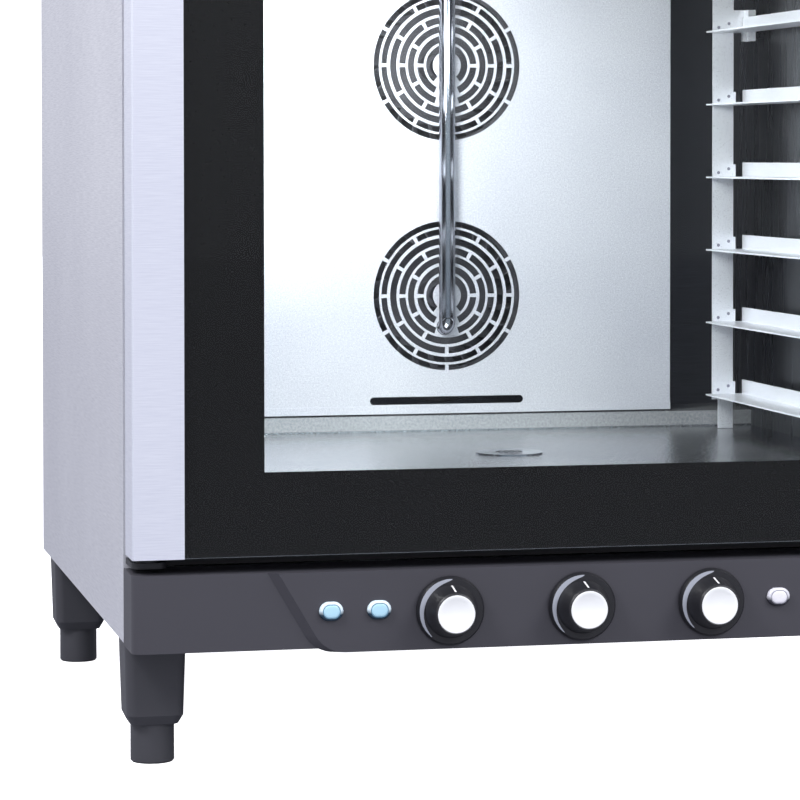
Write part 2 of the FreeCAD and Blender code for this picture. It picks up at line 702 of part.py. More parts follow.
def baffle_spacers():
    """Four posts with screw heads that hold the air guide off the rear wall."""
    low = CAVITY_FLOOR + BAFFLE_FLOOR_GAP + SPACER_EDGE
    high = CAVITY_CEILING - BAFFLE_CEILING_GAP - SPACER_EDGE
    posts = []
    for x in (-SPACER_X, SPACER_X):
        for z in (low, high):
            start = BAFFLE_Y + BAFFLE_SHEET
            posts.append(rod(SPACER_RADIUS, point(x, start, z), Y_AXIS, CAVITY_BACK - start))
    return Part.makeCompound(posts)


def fan_wheel(z):
    """Radial wheel: hub, back plate, front ring and straight blades."""
    centre = point(0, WHEEL_FRONT, z)
    plate = rod(WHEEL_RADIUS, point(0, WHEEL_BACK - WHEEL_SHEET, z), Y_AXIS, WHEEL_SHEET)
    hub = rod(WHEEL_HUB_RADIUS, point(0, WHEEL_BACK - WHEEL_HUB_LENGTH, z), Y_AXIS, WHEEL_HUB_LENGTH)
    ring = tube(WHEEL_RADIUS, WHEEL_RING_RADIUS, centre, Y_AXIS, WHEEL_SHEET)
    blade = box(WHEEL_INNER_RADIUS, WHEEL_RADIUS, WHEEL_FRONT, WHEEL_BACK,
                z - WHEEL_SHEET / 2, z + WHEEL_SHEET / 2)
    blade = turned(blade, point(WHEEL_INNER_RADIUS, 0, z), Y_AXIS, WHEEL_BLADE_ANGLE)
    blades = [turned(blade, centre, Y_AXIS, 360 * index / WHEEL_BLADES) for index in range(WHEEL_BLADES)]
    rim = rod(WHEEL_RADIUS, centre, Y_AXIS, WHEEL_WIDTH)
    blades = [item.common(rim) for item in blades]
    shaft = rod(SHAFT_RADIUS, point(0, WHEEL_FRONT, z), Y_AXIS, WHEEL_WIDTH)
    return plate.multiFuse([hub, ring] + blades).cut(shaft)


def motor_shaft(z):
    """Shaft from the wheel's hub into the motor, with a nut in front of the hub."""
    start = WHEEL_BACK - WHEEL_HUB_LENGTH
    end = MOTOR_FRONT + MOTOR_LENGTH - 2 * MOTOR_FLANGE_THICKNESS
    shaft = rod(SHAFT_RADIUS, point(0, start - SHAFT_RADIUS, z), Y_AXIS, end - start + SHAFT_RADIUS)
    nut = rod(SHAFT_NUT_RADIUS, point(0, start - SHAFT_RADIUS, z), Y_AXIS, SHAFT_RADIUS)
    return shaft.fuse(nut)


def motor_post_places():
    """X and height of a motor's four mounting posts, from its axis."""
    return [(x, z) for x in (-MOTOR_POST_OFFSET, MOTOR_POST_OFFSET)
            for z in (-MOTOR_POST_OFFSET, MOTOR_POST_OFFSET)]


def fan_motor(z):
    """Motor on a square flange, carried on four posts that reach through the insulation."""
    half = MOTOR_FLANGE / 2
    flange = box(-half, half, MOTOR_FRONT, MOTOR_FRONT + MOTOR_FLANGE_THICKNESS, z - half, z + half)
    body = rod(MOTOR_RADIUS, point(0, MOTOR_FRONT, z), Y_AXIS, MOTOR_LENGTH)
    rims = [edge for edge in body.Edges if edge.BoundBox.YMin > MOTOR_FRONT + 1]
    body = body.makeFillet(MOTOR_ROUNDING, rims)
    wall = CAVITY_BACK + CAVITY_SHEET
    posts = [rod(MOTOR_POST_RADIUS, point(x, wall, z + offset), Y_AXIS, MOTOR_FRONT - wall)
             for x, offset in motor_post_places()]
    bore = rod(SHAFT_RADIUS + RUNNING_CLEARANCE, point(0, MOTOR_FRONT - 1, z), Y_AXIS,
               MOTOR_LENGTH - MOTOR_FLANGE_THICKNESS)
    return flange.multiFuse([body] + posts).cut(bore)


def heater_leg_place(angle, z):
    turn = math.radians(angle)
    return point(HEATER_RADIUS * math.cos(turn), 0, z + HEATER_RADIUS * math.sin(turn))


def heater_ring(z):
    """Tubular heating element: open rings round the wheel, joined by two legs to the rear."""
    first = (WHEEL_FRONT + WHEEL_BACK) / 2 - HEATER_PITCH * (HEATER_TURNS - 1) / 2
    turns = [Part.makeTorus(HEATER_RADIUS, HEATER_TUBE_RADIUS, point(0, first + HEATER_PITCH * index, z),
                            Y_AXIS) for index in range(HEATER_TURNS)]
    end = CAVITY_BACK + CAVITY_SHEET + INSULATION + HEATER_LEG_TAIL
    legs = [rod(HEATER_LEG_RADIUS, point(place.x, first, place.z), Y_AXIS, end - first)
            for place in (heater_leg_place(angle, z) for angle in HEATER_LEG_ANGLES)]
    return turns[0].multiFuse(turns[1:] + legs)


# ---- water, steam and drain
def steam_pipe():
    """Water pipe: up from the valve, over the chamber, down in front of the fans, into the guide."""
    start_z = VALVE_Z + VALVE_SIZE / 2
    points = [
        point(VALVE_X, PIPE_REAR_Y, start_z),
        point(VALVE_X, PIPE_REAR_Y, PIPE_TOP_Z),
        point(PIPE_X, PIPE_REAR_Y, PIPE_TOP_Z),
        point(PIPE_X, PIPE_Y, PIPE_TOP_Z),
        point(PIPE_X, PIPE_Y, PIPE_END_Z),
    ]
    run = bent_tube(points[:4] + [point(PIPE_X, PIPE_Y, PIPE_END_Z + PIPE_STAND_OFF)],
                    PIPE_BEND, PIPE_RADIUS, PIPE_RADIUS - PIPE_WALL)
    elbow = bent_elbow(point(PIPE_X, PIPE_Y, PIPE_END_Z), PIPE_STAND_OFF)
    return run.fuse(elbow)


def bent_elbow(corner, reach):
    """Quarter bend from straight down to straight back, ending reach beyond the corner."""
    hollow = []
    for radius in (PIPE_RADIUS, PIPE_RADIUS - PIPE_WALL):
        ring = Part.Face(Part.Wire(Part.makeCircle(radius, corner + Z_AXIS * reach, Z_AXIS)))
        hollow.append(ring.revolve(corner + Z_AXIS * reach + Y_AXIS * reach, X_AXIS, 90))
    return hollow[0].cut(hollow[1])


def water_valve():
    """Solenoid valve behind the rear cover; its threaded stub stands out of the cover."""
    half = VALVE_SIZE / 2
    rear = REAR_PLANE - VALVE_REAR_GAP
    body = box(VALVE_X - half, VALVE_X + half, PIPE_REAR_Y - half, rear, VALVE_Z - half, VALVE_Z + half)
    coil = rod(COIL_RADIUS, point(VALVE_X, PIPE_REAR_Y + half, VALVE_Z - 2 * half), Z_AXIS, half)
    end = DEPTH + STUB_REACH
    neck = rod(INLET_NECK, point(VALVE_X, rear, VALVE_Z), Y_AXIS, end - rear)
    stub = rod(INLET_RADIUS, point(VALVE_X, DEPTH + STUB_START, VALVE_Z), Y_AXIS, STUB_REACH - STUB_START)
    bore = rod(INLET_BORE, point(VALVE_X, rear, VALVE_Z), Y_AXIS, end - rear)
    return body.multiFuse([coil, neck, stub]).cut(bore)


def drain_strainer():
    """Perforated disc with a short collar that drops into the drain."""
    disc = rod(STRAINER_RADIUS, point(0, DRAIN_Y, CAVITY_FLOOR), Z_AXIS, STRAINER_THICKNESS)
    inner = DRAIN_RADIUS - DRAIN_WALL - HOLE_CLEARANCE
    low = CAVITY_FLOOR - STRAINER_COLLAR
    collar = tube(inner, inner - STRAINER_WALL, point(0, DRAIN_Y, low), Z_AXIS, STRAINER_COLLAR)
    holes = []
    for ring, count in enumerate(STRAINER_HOLE_COUNTS):
        for index in range(count):
            turn = 2 * math.pi * index / count
            x = STRAINER_HOLE_PITCH * ring * math.cos(turn)
            y = DRAIN_Y + STRAINER_HOLE_PITCH * ring * math.sin(turn)
            holes.append(rod(STRAINER_HOLE_RADIUS, point(x, y, low - 1), Z_AXIS, 2 * STRAINER_COLLAR))
    return disc.fuse(collar).cut(Part.makeCompound(holes))


def drain_pipe():
    """Drain from under the chamber's floor, bent to leave through the rear cover."""
    points = [
        point(0, DRAIN_Y, CAVITY_FLOOR - CAVITY_SHEET),
        point(0, DRAIN_Y, DRAIN_Z),
        point(0, DEPTH + STUB_REACH, DRAIN_Z),
    ]
    run = bent_tube(points, DRAIN_BEND, DRAIN_RADIUS, DRAIN_RADIUS - DRAIN_WALL)
    stub = tube(DRAIN_STUB, DRAIN_RADIUS - DRAIN_WALL, point(0, DEPTH + STUB_START, DRAIN_Z), Y_AXIS,
                STUB_REACH - STUB_START)
    return run.fuse(stub)


def exhaust_pipe():
    """Steam outlet from the chamber's ceiling through the lid."""
    start = point(EXHAUST_X, EXHAUST_Y, CAVITY_CEILING)
    length = EXHAUST_TOP - CAVITY_CEILING
    run = tube(EXHAUST_RADIUS, EXHAUST_RADIUS - EXHAUST_WALL, start, Z_AXIS, length)
    stub = tube(EXHAUST_STUB, EXHAUST_RADIUS - EXHAUST_WALL, point(EXHAUST_X, EXHAUST_Y, TOP + STUB_START),
                Z_AXIS, EXHAUST_RISE - STUB_START)
    return run.fuse(stub)


def cavity_lamp():
    """Lamp holder in the ceiling, with a domed lens below it."""
    start = CAVITY_CEILING - LAMP_DROP
    body = rod(LAMP_RADIUS, point(LAMP_X, LAMP_Y, start), Z_AXIS, LAMP_DROP + CAVITY_SHEET + INSULATION)
    return body.makeFillet(LAMP_ROUNDING, [edge for edge in body.Edges
                           if edge.BoundBox.ZMax < start + 1])


# ---- door
def door_stile():
    """Left edge of the door: a bent sheet that wraps the front, side and back."""
    outer = box(-HALF, -HALF + STILE_WIDTH, DOOR_FRONT, DOOR_BACK, DOOR_BOTTOM, DOOR_TOP)
    corners = [edge for edge in outer.Edges
               if edge.BoundBox.XMax < -HALF + 1 and edge.BoundBox.ZLength > 10]
    outer = outer.makeFillet(STILE_RADIUS, corners)
    inner = box(-HALF + STILE_SHEET, -HALF + STILE_WIDTH + 1, DOOR_FRONT + STILE_SHEET,
                DOOR_BACK - STILE_SHEET, DOOR_BOTTOM - 1, DOOR_TOP + 1)
    corners = [edge for edge in inner.Edges
               if edge.BoundBox.XMax < -HALF + STILE_SHEET + 1 and edge.BoundBox.ZLength > 10]
    inner = inner.makeFillet(STILE_RADIUS - STILE_SHEET, corners)
    return outer.cut(inner)


def rail_profile():
    """Bottom rail, upside up: web, front flange and a stepped ledge behind the inner glass."""
    reach = HALF - STILE_RADIUS
    front = DOOR_FRONT + OUTER_GLASS
    rear = DOOR_BACK - STILE_SHEET
    ledge = DOOR_BACK - INNER_GLASS
    z = DOOR_BOTTOM
    web = box(-reach, reach, front, rear, z, z + RAIL_SHEET)
    flange = box(-reach, reach, front, front + RAIL_SHEET, z, z + RAIL_FRONT_FLANGE)
    lip = box(-reach, reach, rear - RAIL_SHEET, rear, z, z + RAIL_REAR_FLANGE)
    step = box(-reach, reach, ledge - RAIL_SHEET, rear, z + RAIL_REAR_FLANGE,
               z + RAIL_REAR_FLANGE + RAIL_SHEET)
    rise = box(-reach, reach, ledge - RAIL_SHEET, ledge, z + RAIL_REAR_FLANGE,
               z + RAIL_REAR_FLANGE + RAIL_LEDGE)
    bush = rod(BUSH_RADIUS, point(HINGE_X, HINGE_Y, z - 1), Z_AXIS, BUSH_LENGTH)
    return joined([web, flange, lip, step, rise]).cut(bush)


def flipped(shape):
    """The same piece at the top of the door."""
    return shape.mirror(point(0, 0, (DOOR_BOTTOM + DOOR_TOP) / 2), Z_AXIS)


def hinge_bush():
    """Bush in the bottom rail that turns on the hinge pin."""
    return tube(BUSH_RADIUS, HINGE_PIN_RADIUS + RUNNING_CLEARANCE, point(HINGE_X, HINGE_Y, DOOR_BOTTOM),
                Z_AXIS, BUSH_LENGTH)


def outer_glass():
    """Front pane between the two stiles."""
    pane = box(-GLASS_HALF, GLASS_HALF, DOOR_FRONT, DOOR_FRONT + OUTER_GLASS, DOOR_BOTTOM, DOOR_TOP)
    rims = [edge for edge in pane.Edges if edge.BoundBox.YMax < DOOR_FRONT + 1]
    return pane.makeChamfer(GLASS_CHAMFER, rims)


def inner_glass():
    """Rear pane, which the gasket presses on."""
    low = DOOR_BOTTOM + INNER_GLASS_MARGIN
    high = DOOR_TOP - INNER_GLASS_MARGIN
    return box(-GLASS_HALF, GLASS_HALF, DOOR_BACK - INNER_GLASS, DOOR_BACK, low, high)


def door_gasket():
    """Rubber frame round the chamber's mouth, just clear of the closed door."""
    inner = GASKET_INNER_MARGIN
    outer = GASKET_INNER_MARGIN + GASKET_WIDTH
    y0 = DOOR_BACK + MOVING_GAP
    y1 = FRAME_FRONT

    def block(margin, low, high):
        return box(-CAVITY_HALF - margin, CAVITY_HALF + margin, low, high,
                   CAVITY_FLOOR - margin, CAVITY_CEILING + margin)

    seal = block(outer, y0, y1)
    rims = [edge for edge in seal.Edges if edge.BoundBox.YMax < y0 + 1 or edge.BoundBox.YLength > 5]
    return seal.makeFillet(GASKET_ROUNDING, rims).cut(block(inner, y0 - 1, y1 + 1))


def hinge_bracket():
    """Lower hinge: a plate on the face frame, carrying the pin and its thrust collar."""
    top = DOOR_BOTTOM - MOVING_GAP
    plate_top = top - HINGE_COLLAR_HEIGHT
    low = plate_top - HINGE_PLATE
    plate = box(HINGE_LEFT, HINGE_RIGHT, -HINGE_REACH, 0, low, plate_top)
    tip = [edge for edge in plate.Edges
           if edge.BoundBox.YMax < 1 - HINGE_REACH and edge.BoundBox.ZLength > 1]
    plate = plate.makeFillet(HINGE_WIDTH / 3, tip)
    leg_left = -HALF + PANEL_RETURN + GLASS_GAP
    leg = box(leg_left, HINGE_RIGHT, FRAME_FRONT - HINGE_PLATE, FRAME_FRONT, low, low + HINGE_LEG)
    foot = point(HINGE_X, HINGE_Y, plate_top)
    collar = rod(HINGE_COLLAR_RADIUS, foot, Z_AXIS, HINGE_COLLAR_HEIGHT)
    pin = rod(HINGE_PIN_RADIUS, foot, Z_AXIS, HINGE_COLLAR_HEIGHT + HINGE_PIN_LENGTH)
    return joined([plate, leg, collar, pin])


def door_handle():
    """Round bar on two posts, standing off the right stile."""
    bar = rod(HANDLE_RADIUS, point(HANDLE_X, HANDLE_Y, HANDLE_BOTTOM), Z_AXIS, HANDLE_LENGTH)
    bar = bar.makeFillet(HANDLE_ROUNDING, [edge for edge in bar.Edges
                         if edge.BoundBox.ZLength < 1])
    posts = [rod(HANDLE_POST_RADIUS, point(HANDLE_X, HANDLE_Y, z), Y_AXIS, HANDLE_STAND_OFF)
             for z in (HANDLE_BOTTOM + HANDLE_POST_INSET,
                       HANDLE_BOTTOM + HANDLE_LENGTH - HANDLE_POST_INSET)]
    return joined([bar] + posts)


def door_catch():
    """Magnetic catch on the face frame, just behind the closed door."""
    z = (DOOR_BOTTOM + DOOR_TOP) / 2
    return box(HANDLE_X - CATCH_WIDTH / 2, HANDLE_X + CATCH_WIDTH / 2, DOOR_BACK + MOVING_GAP, FRAME_FRONT,
               z - CATCH_HEIGHT / 2, z + CATCH_HEIGHT / 2)


# ---- racks
def runner(z):
    """Tray runner at height z: a flat lip, an outer flange and a tab, welded to each other."""
    sheet = RACK_SHEET
    span = RUNNER_HALF_SPAN
    tab_end = POST_INNER_X + POST_WIDTH + TAB_OVERHANG
    lip = box(span - LIP_WIDTH, span, RUNNER_FRONT, RUNNER_REAR, z - sheet, z)
    flange = box(span - sheet, span, RUNNER_FRONT, RUNNER_REAR - RELIEF_LENGTH, z, z + FLANGE_HEIGHT)
    tab = box(POST_INNER_X, tab_end, RUNNER_REAR - sheet, RUNNER_REAR, z, z + TAB_HEIGHT)
    return [lip, flange, tab]


def rack_hook(y):
    """Hook beside the runners that drops over a wall stud: a head and two legs."""
    left = RUNNER_HALF_SPAN + RACK_SHEET
    right = left + HOOK_THICKNESS
    reach = STUD_RADIUS + MOVING_GAP
    half = HOOK_HEIGHT / 2
    low = STUD_Z - HOOK_DROP
    return [
        box(left, right, y - half, y + half, STUD_Z + reach, STUD_Z + HOOK_HEIGHT),
        box(left, right, y - half, y - reach, low, STUD_Z + reach),
        box(left, right, y + reach, y + half, low, STUD_Z + reach),
    ]


def rack():
    """Right rack: welded plates, one solid each, for six runners, two posts, a bridge and two hooks."""
    sheet = RACK_SHEET
    span = RUNNER_HALF_SPAN
    low = CAVITY_FLOOR + RACK_FLOOR_GAP
    right = POST_INNER_X + POST_WIDTH
    rear = RUNNER_REAR
    foot_top = low + POST_FOOT_HEIGHT
    pieces = [
        box(span, span + sheet, RUNNER_FRONT, RUNNER_FRONT + POST_WIDTH, low, RACK_TOP),
        box(POST_INNER_X + POST_FOOT_INSET, right, rear, rear + sheet, low, foot_top),
        box(POST_INNER_X, right, rear, rear + sheet, foot_top, RACK_TOP),
        box(right - sheet, right, rear + sheet, rear + POST_RETURN, low, RACK_TOP),
        box(right, span + sheet, rear, rear + sheet, STUD_Z + sheet, STUD_Z + HOOK_HEIGHT),
    ]
    for index in range(RUNNERS):
        pieces += runner(FIRST_RUNNER + RUNNER_PITCH * index)
    for y in STUD_YS:
        pieces += rack_hook(y)
    return Part.makeCompound(pieces)


# ---- control fascia
def bulge(top_half, bottom_half, y, low, high, corner):
    """Outline of the raised middle of the fascia at depth y, with its two lower corners rounded."""
    ends = [point(-top_half, y, high), point(-bottom_half, y, low), point(bottom_half, y, low),
            point(top_half, y, high)]
    top = Part.LineSegment(ends[3], ends[0]).toShape()
    return Part.Wire(route_wire(ends, corner).Edges + [top])


def fascia_solid(shrink):
    """Outer form of the fascia, or its hollow when shrunk by the wall."""
    half = HALF - shrink
    front = FASCIA_FRONT + shrink
    low = FASCIA_BOTTOM + shrink
    high = FASCIA_TOP - shrink
    body = box(-half, half, front, 0 + shrink, low, high)
    corners = [edge for edge in body.Edges
               if edge.BoundBox.YMax < front + 1 and edge.BoundBox.ZLength > 10]
    body = body.makeFillet(FASCIA_CORNER - shrink, corners)
    rise = Part.makeLoft([
        bulge(BULGE_TOP_HALF - shrink, BULGE_BOTTOM_HALF - shrink, front, BULGE_BOTTOM + shrink, high,
              BULGE_CORNER - shrink),
        bulge(BULGE_TOP_HALF - BULGE_SLOPE - shrink, BULGE_BOTTOM_HALF - BULGE_SLOPE - shrink,
              front - BULGE_DEPTH, BULGE_BOTTOM + shrink, high, BULGE_CORNER - shrink),
    ], True, True)
    reach = BULGE_BOTTOM_HALF - KEEL_INSET - shrink
    keel = box(-reach, reach, front, 0 + shrink, BULGE_BOTTOM + shrink, low + 1)
    return body.fuse(rise).fuse(keel)


def oval_places():
    """X of the pilot lamps and of the push buttons."""
    return (-OVAL_FAR_X, -OVAL_NEAR_X), (OVAL_NEAR_X, OVAL_FAR_X)


def control_fascia():
    """Moulded hollow front, open at the back, with holes for the controls."""
    shell = fascia_solid(0).cut(fascia_solid(FASCIA_WALL))
    cuts = [box(-HALF, HALF, -SHEET, FASCIA_WALL + 1, 0, TOP)]
    for x in KNOB_XS.values():
        cuts.append(rod(SPINDLE_HOLE_RADIUS, point(x, BULGE_FRONT - 1, KNOB_Z), Y_AXIS, FASCIA_WALL + 2))
    for x in sum(oval_places(), ()):
        cuts.append(oval(OVAL_LENGTH, OVAL_HEIGHT, x, BULGE_FRONT - 1, BULGE_INNER + 1, OVAL_Z))
    return shell.cut(Part.makeCompound(cuts))


def knob(x):
    """Knob with a flat skirt, a round grip and a cap; its hub is bored for the spindle."""
    base = BULGE_FRONT - MOVING_GAP
    skirt = base - KNOB_SKIRT_HEIGHT
    profile = [
        (0, base), (KNOB_SKIRT_RADIUS, base), (KNOB_SKIRT_RADIUS, base - KNOB_SKIRT_HEIGHT / 2),
        (KNOB_SKIRT_RADIUS - KNOB_SKIRT_SLOPE, skirt), (KNOB_GRIP_RADIUS + KNOB_GROOVE, skirt),
        (KNOB_GRIP_RADIUS, skirt - KNOB_GROOVE), (KNOB_CAP_RADIUS, KNOB_FRONT + KNOB_CAP_EDGE),
        (KNOB_CAP_RADIUS - KNOB_CAP_EDGE, KNOB_FRONT), (0, KNOB_FRONT),
    ]
    body = revolved(profile, point(x, 0, KNOB_Z))
    return body.cut(rod(SPINDLE_RADIUS, point(x, base - KNOB_HUB_DEPTH, KNOB_Z), Y_AXIS, KNOB_HUB_DEPTH))


def spindle(x):
    """Spindle from the knob's hub into the regulator."""
    start = BULGE_FRONT - MOVING_GAP - KNOB_HUB_DEPTH
    end = BULGE_INNER + REGULATOR_DEPTH - SPINDLE_END_GAP
    return rod(SPINDLE_RADIUS, point(x, start, KNOB_Z), Y_AXIS, end - start)


def regulators():
    """Three rotary regulators behind the fascia, one solid each."""
    half = REGULATOR_SIZE / 2
    bodies = []
    for x in KNOB_XS.values():
        body = box(x - half, x + half, BULGE_INNER, BULGE_INNER + REGULATOR_DEPTH, 
                   KNOB_Z - half + REGULATOR_FLOOR_GAP, KNOB_Z + half)
        bore = rod(SPINDLE_RADIUS + RUNNING_CLEARANCE, point(x, BULGE_INNER - 1, KNOB_Z), Y_AXIS,
                   REGULATOR_DEPTH - SPINDLE_END_GAP + 2)
        bodies.append(body.cut(bore))
    return Part.makeCompound(bodies)


def domed_oval(length, height, x, back, front):
    """Oval cap with a rounded front."""
    cap = oval(length, height, x, front, back, OVAL_Z)
    rims = [edge for edge in cap.Edges if edge.BoundBox.YMax < front + 0.1]
    return cap.makeFillet(OVAL_ROUNDING, rims)


def pilot_lamps():
    """Two oval lamps, each with its body behind the fascia."""
    lamps = []
    for x in oval_places()[0]:
        lens = domed_oval(OVAL_LENGTH - HOLE_CLEARANCE, OVAL_HEIGHT - HOLE_CLEARANCE, x, BULGE_INNER,
                          BULGE_FRONT - OVAL_PROUD)
        body = rod(OVAL_HEIGHT / 2, point(x, BULGE_INNER, OVAL_Z), Y_AXIS, LAMP_BODY_DEPTH)
        lamps.append(lens.fuse(body))
    return Part.makeCompound(lamps)


def push_button(x):
    """Oval key on a round stem."""
    slack = 2 * MOVING_GAP
    key = domed_oval(OVAL_LENGTH - slack, OVAL_HEIGHT - slack, x, BULGE_INNER, BULGE_FRONT - OVAL_PROUD)
    stem = rod(BUTTON_STEM_RADIUS, point(x, BULGE_INNER, OVAL_Z), Y_AXIS, BUTTON_STEM_LENGTH)
    return key.fuse(stem)


def button_switches():
    """Switch bodies that the buttons' stems run into, one solid each."""
    half = OVAL_LENGTH / 2 + SWITCH_MARGIN
    bodies = []
    for x in oval_places()[1]:
        front = BULGE_INNER + BUTTON_TRAVEL + SWITCH_MARGIN / 2
        body = box(x - half, x + half, front, front + SWITCH_DEPTH, OVAL_Z - half, OVAL_Z + half)
        bore = rod(BUTTON_STEM_RADIUS + RUNNING_CLEARANCE, point(x, front - 1, OVAL_Z), Y_AXIS,
                   BUTTON_STEM_LENGTH + SWITCH_MARGIN)
        bodies.append(body.cut(bore))
    return Part.makeCompound(bodies)


# ---- rear services
def cooling_fan_frame():
    """Square frame with a round duct, rear struts and the bearing pin."""
    half = VENT_SIZE / 2
    centre = point(VENT_X, VENT_FRONT, VENT_Z)
    frame = box(VENT_X - half, VENT_X + half, VENT_FRONT, REAR_PLANE, VENT_Z - half, VENT_Z + half)
    frame = frame.cut(rod(VENT_BORE_RADIUS, centre, Y_AXIS, VENT_DEPTH))
    back = REAR_PLANE - VENT_STRUT
    disc = rod(VENT_HUB_RADIUS, point(VENT_X, back, VENT_Z), Y_AXIS, VENT_STRUT)
    reach = (VENT_SIZE - VENT_STRUT) / 2
    strut = box(VENT_X - reach, VENT_X + reach, back, REAR_PLANE, VENT_Z - VENT_STRUT / 2,
                VENT_Z + VENT_STRUT / 2)
    cross = turned(strut, centre, Y_AXIS, 90)
    tip = point(VENT_X, VENT_FRONT + VENT_STRUT, VENT_Z)
    pin = rod(VENT_PIN_RADIUS, tip, Y_AXIS, VENT_DEPTH - VENT_STRUT)
    return joined([frame, disc, strut, cross, pin])


def cooling_fan_rotor():
    """Hub with pitched blades, turning on the frame's pin."""
    back = REAR_PLANE - VENT_STRUT - 2 * MOVING_GAP
    front = VENT_FRONT + VENT_FRONT_GAP
    centre = point(VENT_X, front, VENT_Z)
    hub = rod(VENT_HUB_RADIUS, centre, Y_AXIS, back - front)
    sweep = tube(VENT_ROTOR_RADIUS, VENT_HUB_RADIUS - 1, centre, Y_AXIS, back - front)
    blade = box(VENT_X + VENT_HUB_RADIUS - 2, VENT_X + VENT_ROTOR_RADIUS + 2, front, back,
                VENT_Z - VENT_BLADE_SHEET / 2, VENT_Z + VENT_BLADE_SHEET / 2)
    blade = turned(blade, point(VENT_X, (front + back) / 2, VENT_Z), X_AXIS, VENT_BLADE_ANGLE)
    blades = [turned(blade, centre, Y_AXIS, 360 * index / VENT_BLADES).common(sweep)
              for index in range(VENT_BLADES)]
    tip = point(VENT_X, VENT_FRONT + VENT_STRUT - MOVING_GAP, VENT_Z)
    bore = rod(VENT_PIN_RADIUS + RUNNING_CLEARANCE, tip, Y_AXIS, VENT_DEPTH)
    return hub.multiFuse(blades).cut(bore)


def cable_gland():
    """Hexagonal gland for the supply cable in the rear cover."""
    face = REAR_PLANE + SHEET
    corners = [point(GLAND_X + GLAND_RADIUS * math.cos(math.radians(60 * index)), face,
                     GLAND_Z + GLAND_RADIUS * math.sin(math.radians(60 * index))) for index in range(6)]
    nut = Part.Face(Part.makePolygon(corners + corners[:1])).extrude(point(0, GLAND_NUT, 0))
    dome = rod(GLAND_RADIUS - GLAND_STEP, point(GLAND_X, face, GLAND_Z), Y_AXIS, GLAND_DOME)
    low = face - GLAND_NECK
    neck = rod(GLAND_RADIUS - FASCIA_WALL - HOLE_CLEARANCE, point(GLAND_X, low, GLAND_Z), Y_AXIS, GLAND_NECK)
    bore = rod(GLAND_BORE_RADIUS, point(GLAND_X, low - 1, GLAND_Z), Y_AXIS, GLAND_NECK + GLAND_DOME + 2)
    return nut.multiFuse([dome, neck]).cut(bore)


def model():
    """Every sub-part, by name."""
    stile = door_stile()
    rail = rail_profile()
    side = side_panel()
    right_rack = rack()
    lower_bracket = hinge_bracket()
    bush = hinge_bush()
    parts = {
        "side_panel_left": side,
        "side_panel_right": mirrored(side),
        "top_panel": top_panel(),
        "back_panel": back_panel(),
        "base_tray": base_tray(),
        "front_frame": front_frame(),
        "panel_screws": panel_screws(),
        "foot_bodies": Part.makeCompound([foot_body(x, y) for x, y in FEET.values()]),
        "cavity_wrap": cavity_wrap(),
        "cavity_floor": cavity_floor(),
        "cavity_back": cavity_back(),
        "insulation": insulation(),
        "fan_baffle": fan_baffle(),
        "baffle_spacers": baffle_spacers(),
        "steam_pipe": steam_pipe(),
        "water_valve": water_valve(),
        "drain_strainer": drain_strainer(),
        "drain_pipe": drain_pipe(),
        "exhaust_pipe": exhaust_pipe(),
        "cavity_lamp": cavity_lamp(),
        "door_stile_left": stile,
        "door_stile_right": mirrored(stile),
        "door_rail_bottom": rail,
        "door_rail_top": flipped(rail),
        "hinge_bushes": Part.makeCompound([bush, flipped(bush)]),
        "door_outer_glass": outer_glass(),
        "door_inner_glass": inner_glass(),
        "door_gasket": door_gasket(),
        "hinge_brackets": Part.makeCompound([lower_bracket, flipped(lower_bracket)]),
        "door_handle": door_handle(),
        "door_catch": door_catch(),
        "rack_left": mirrored(right_rack),
        "rack_right": right_rack,
        "control_fascia": control_fascia(),
        "regulators": regulators(),
        "pilot_lamps": pilot_lamps(),
        "button_switches": button_switches(),
        "cooling_fan_frame": cooling_fan_frame(),
        "cooling_fan_rotor": cooling_fan_rotor(),
        "cable_gland": cable_gland(),
    }
    for corner, (x, y) in FEET.items():
        parts["foot_adjuster_" + corner] = foot_adjuster(x, y)
    for level, z in FAN_HEIGHTS.items():
        parts["fan_wheel_" + level] = fan_wheel(z)
        parts["motor_shaft_" + level] = motor_shaft(z)
        parts["fan_motor_" + level] = fan_motor(z)
        parts["heater_ring_" + level] = heater_ring(z)
    for name, x in KNOB_XS.items():
        parts["knob_" + name] = knob(x)
        parts["spindle_" + name] = spindle(x)
    for name, x in zip(("light", "cooling"), oval_places()[1]):
        parts["push_button_" + name] = push_button(x)
    return parts


os.makedirs("parts", exist_ok=True)
for part_name, part_shape in model().items():
    save(part_name, part_shape)
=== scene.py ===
import math

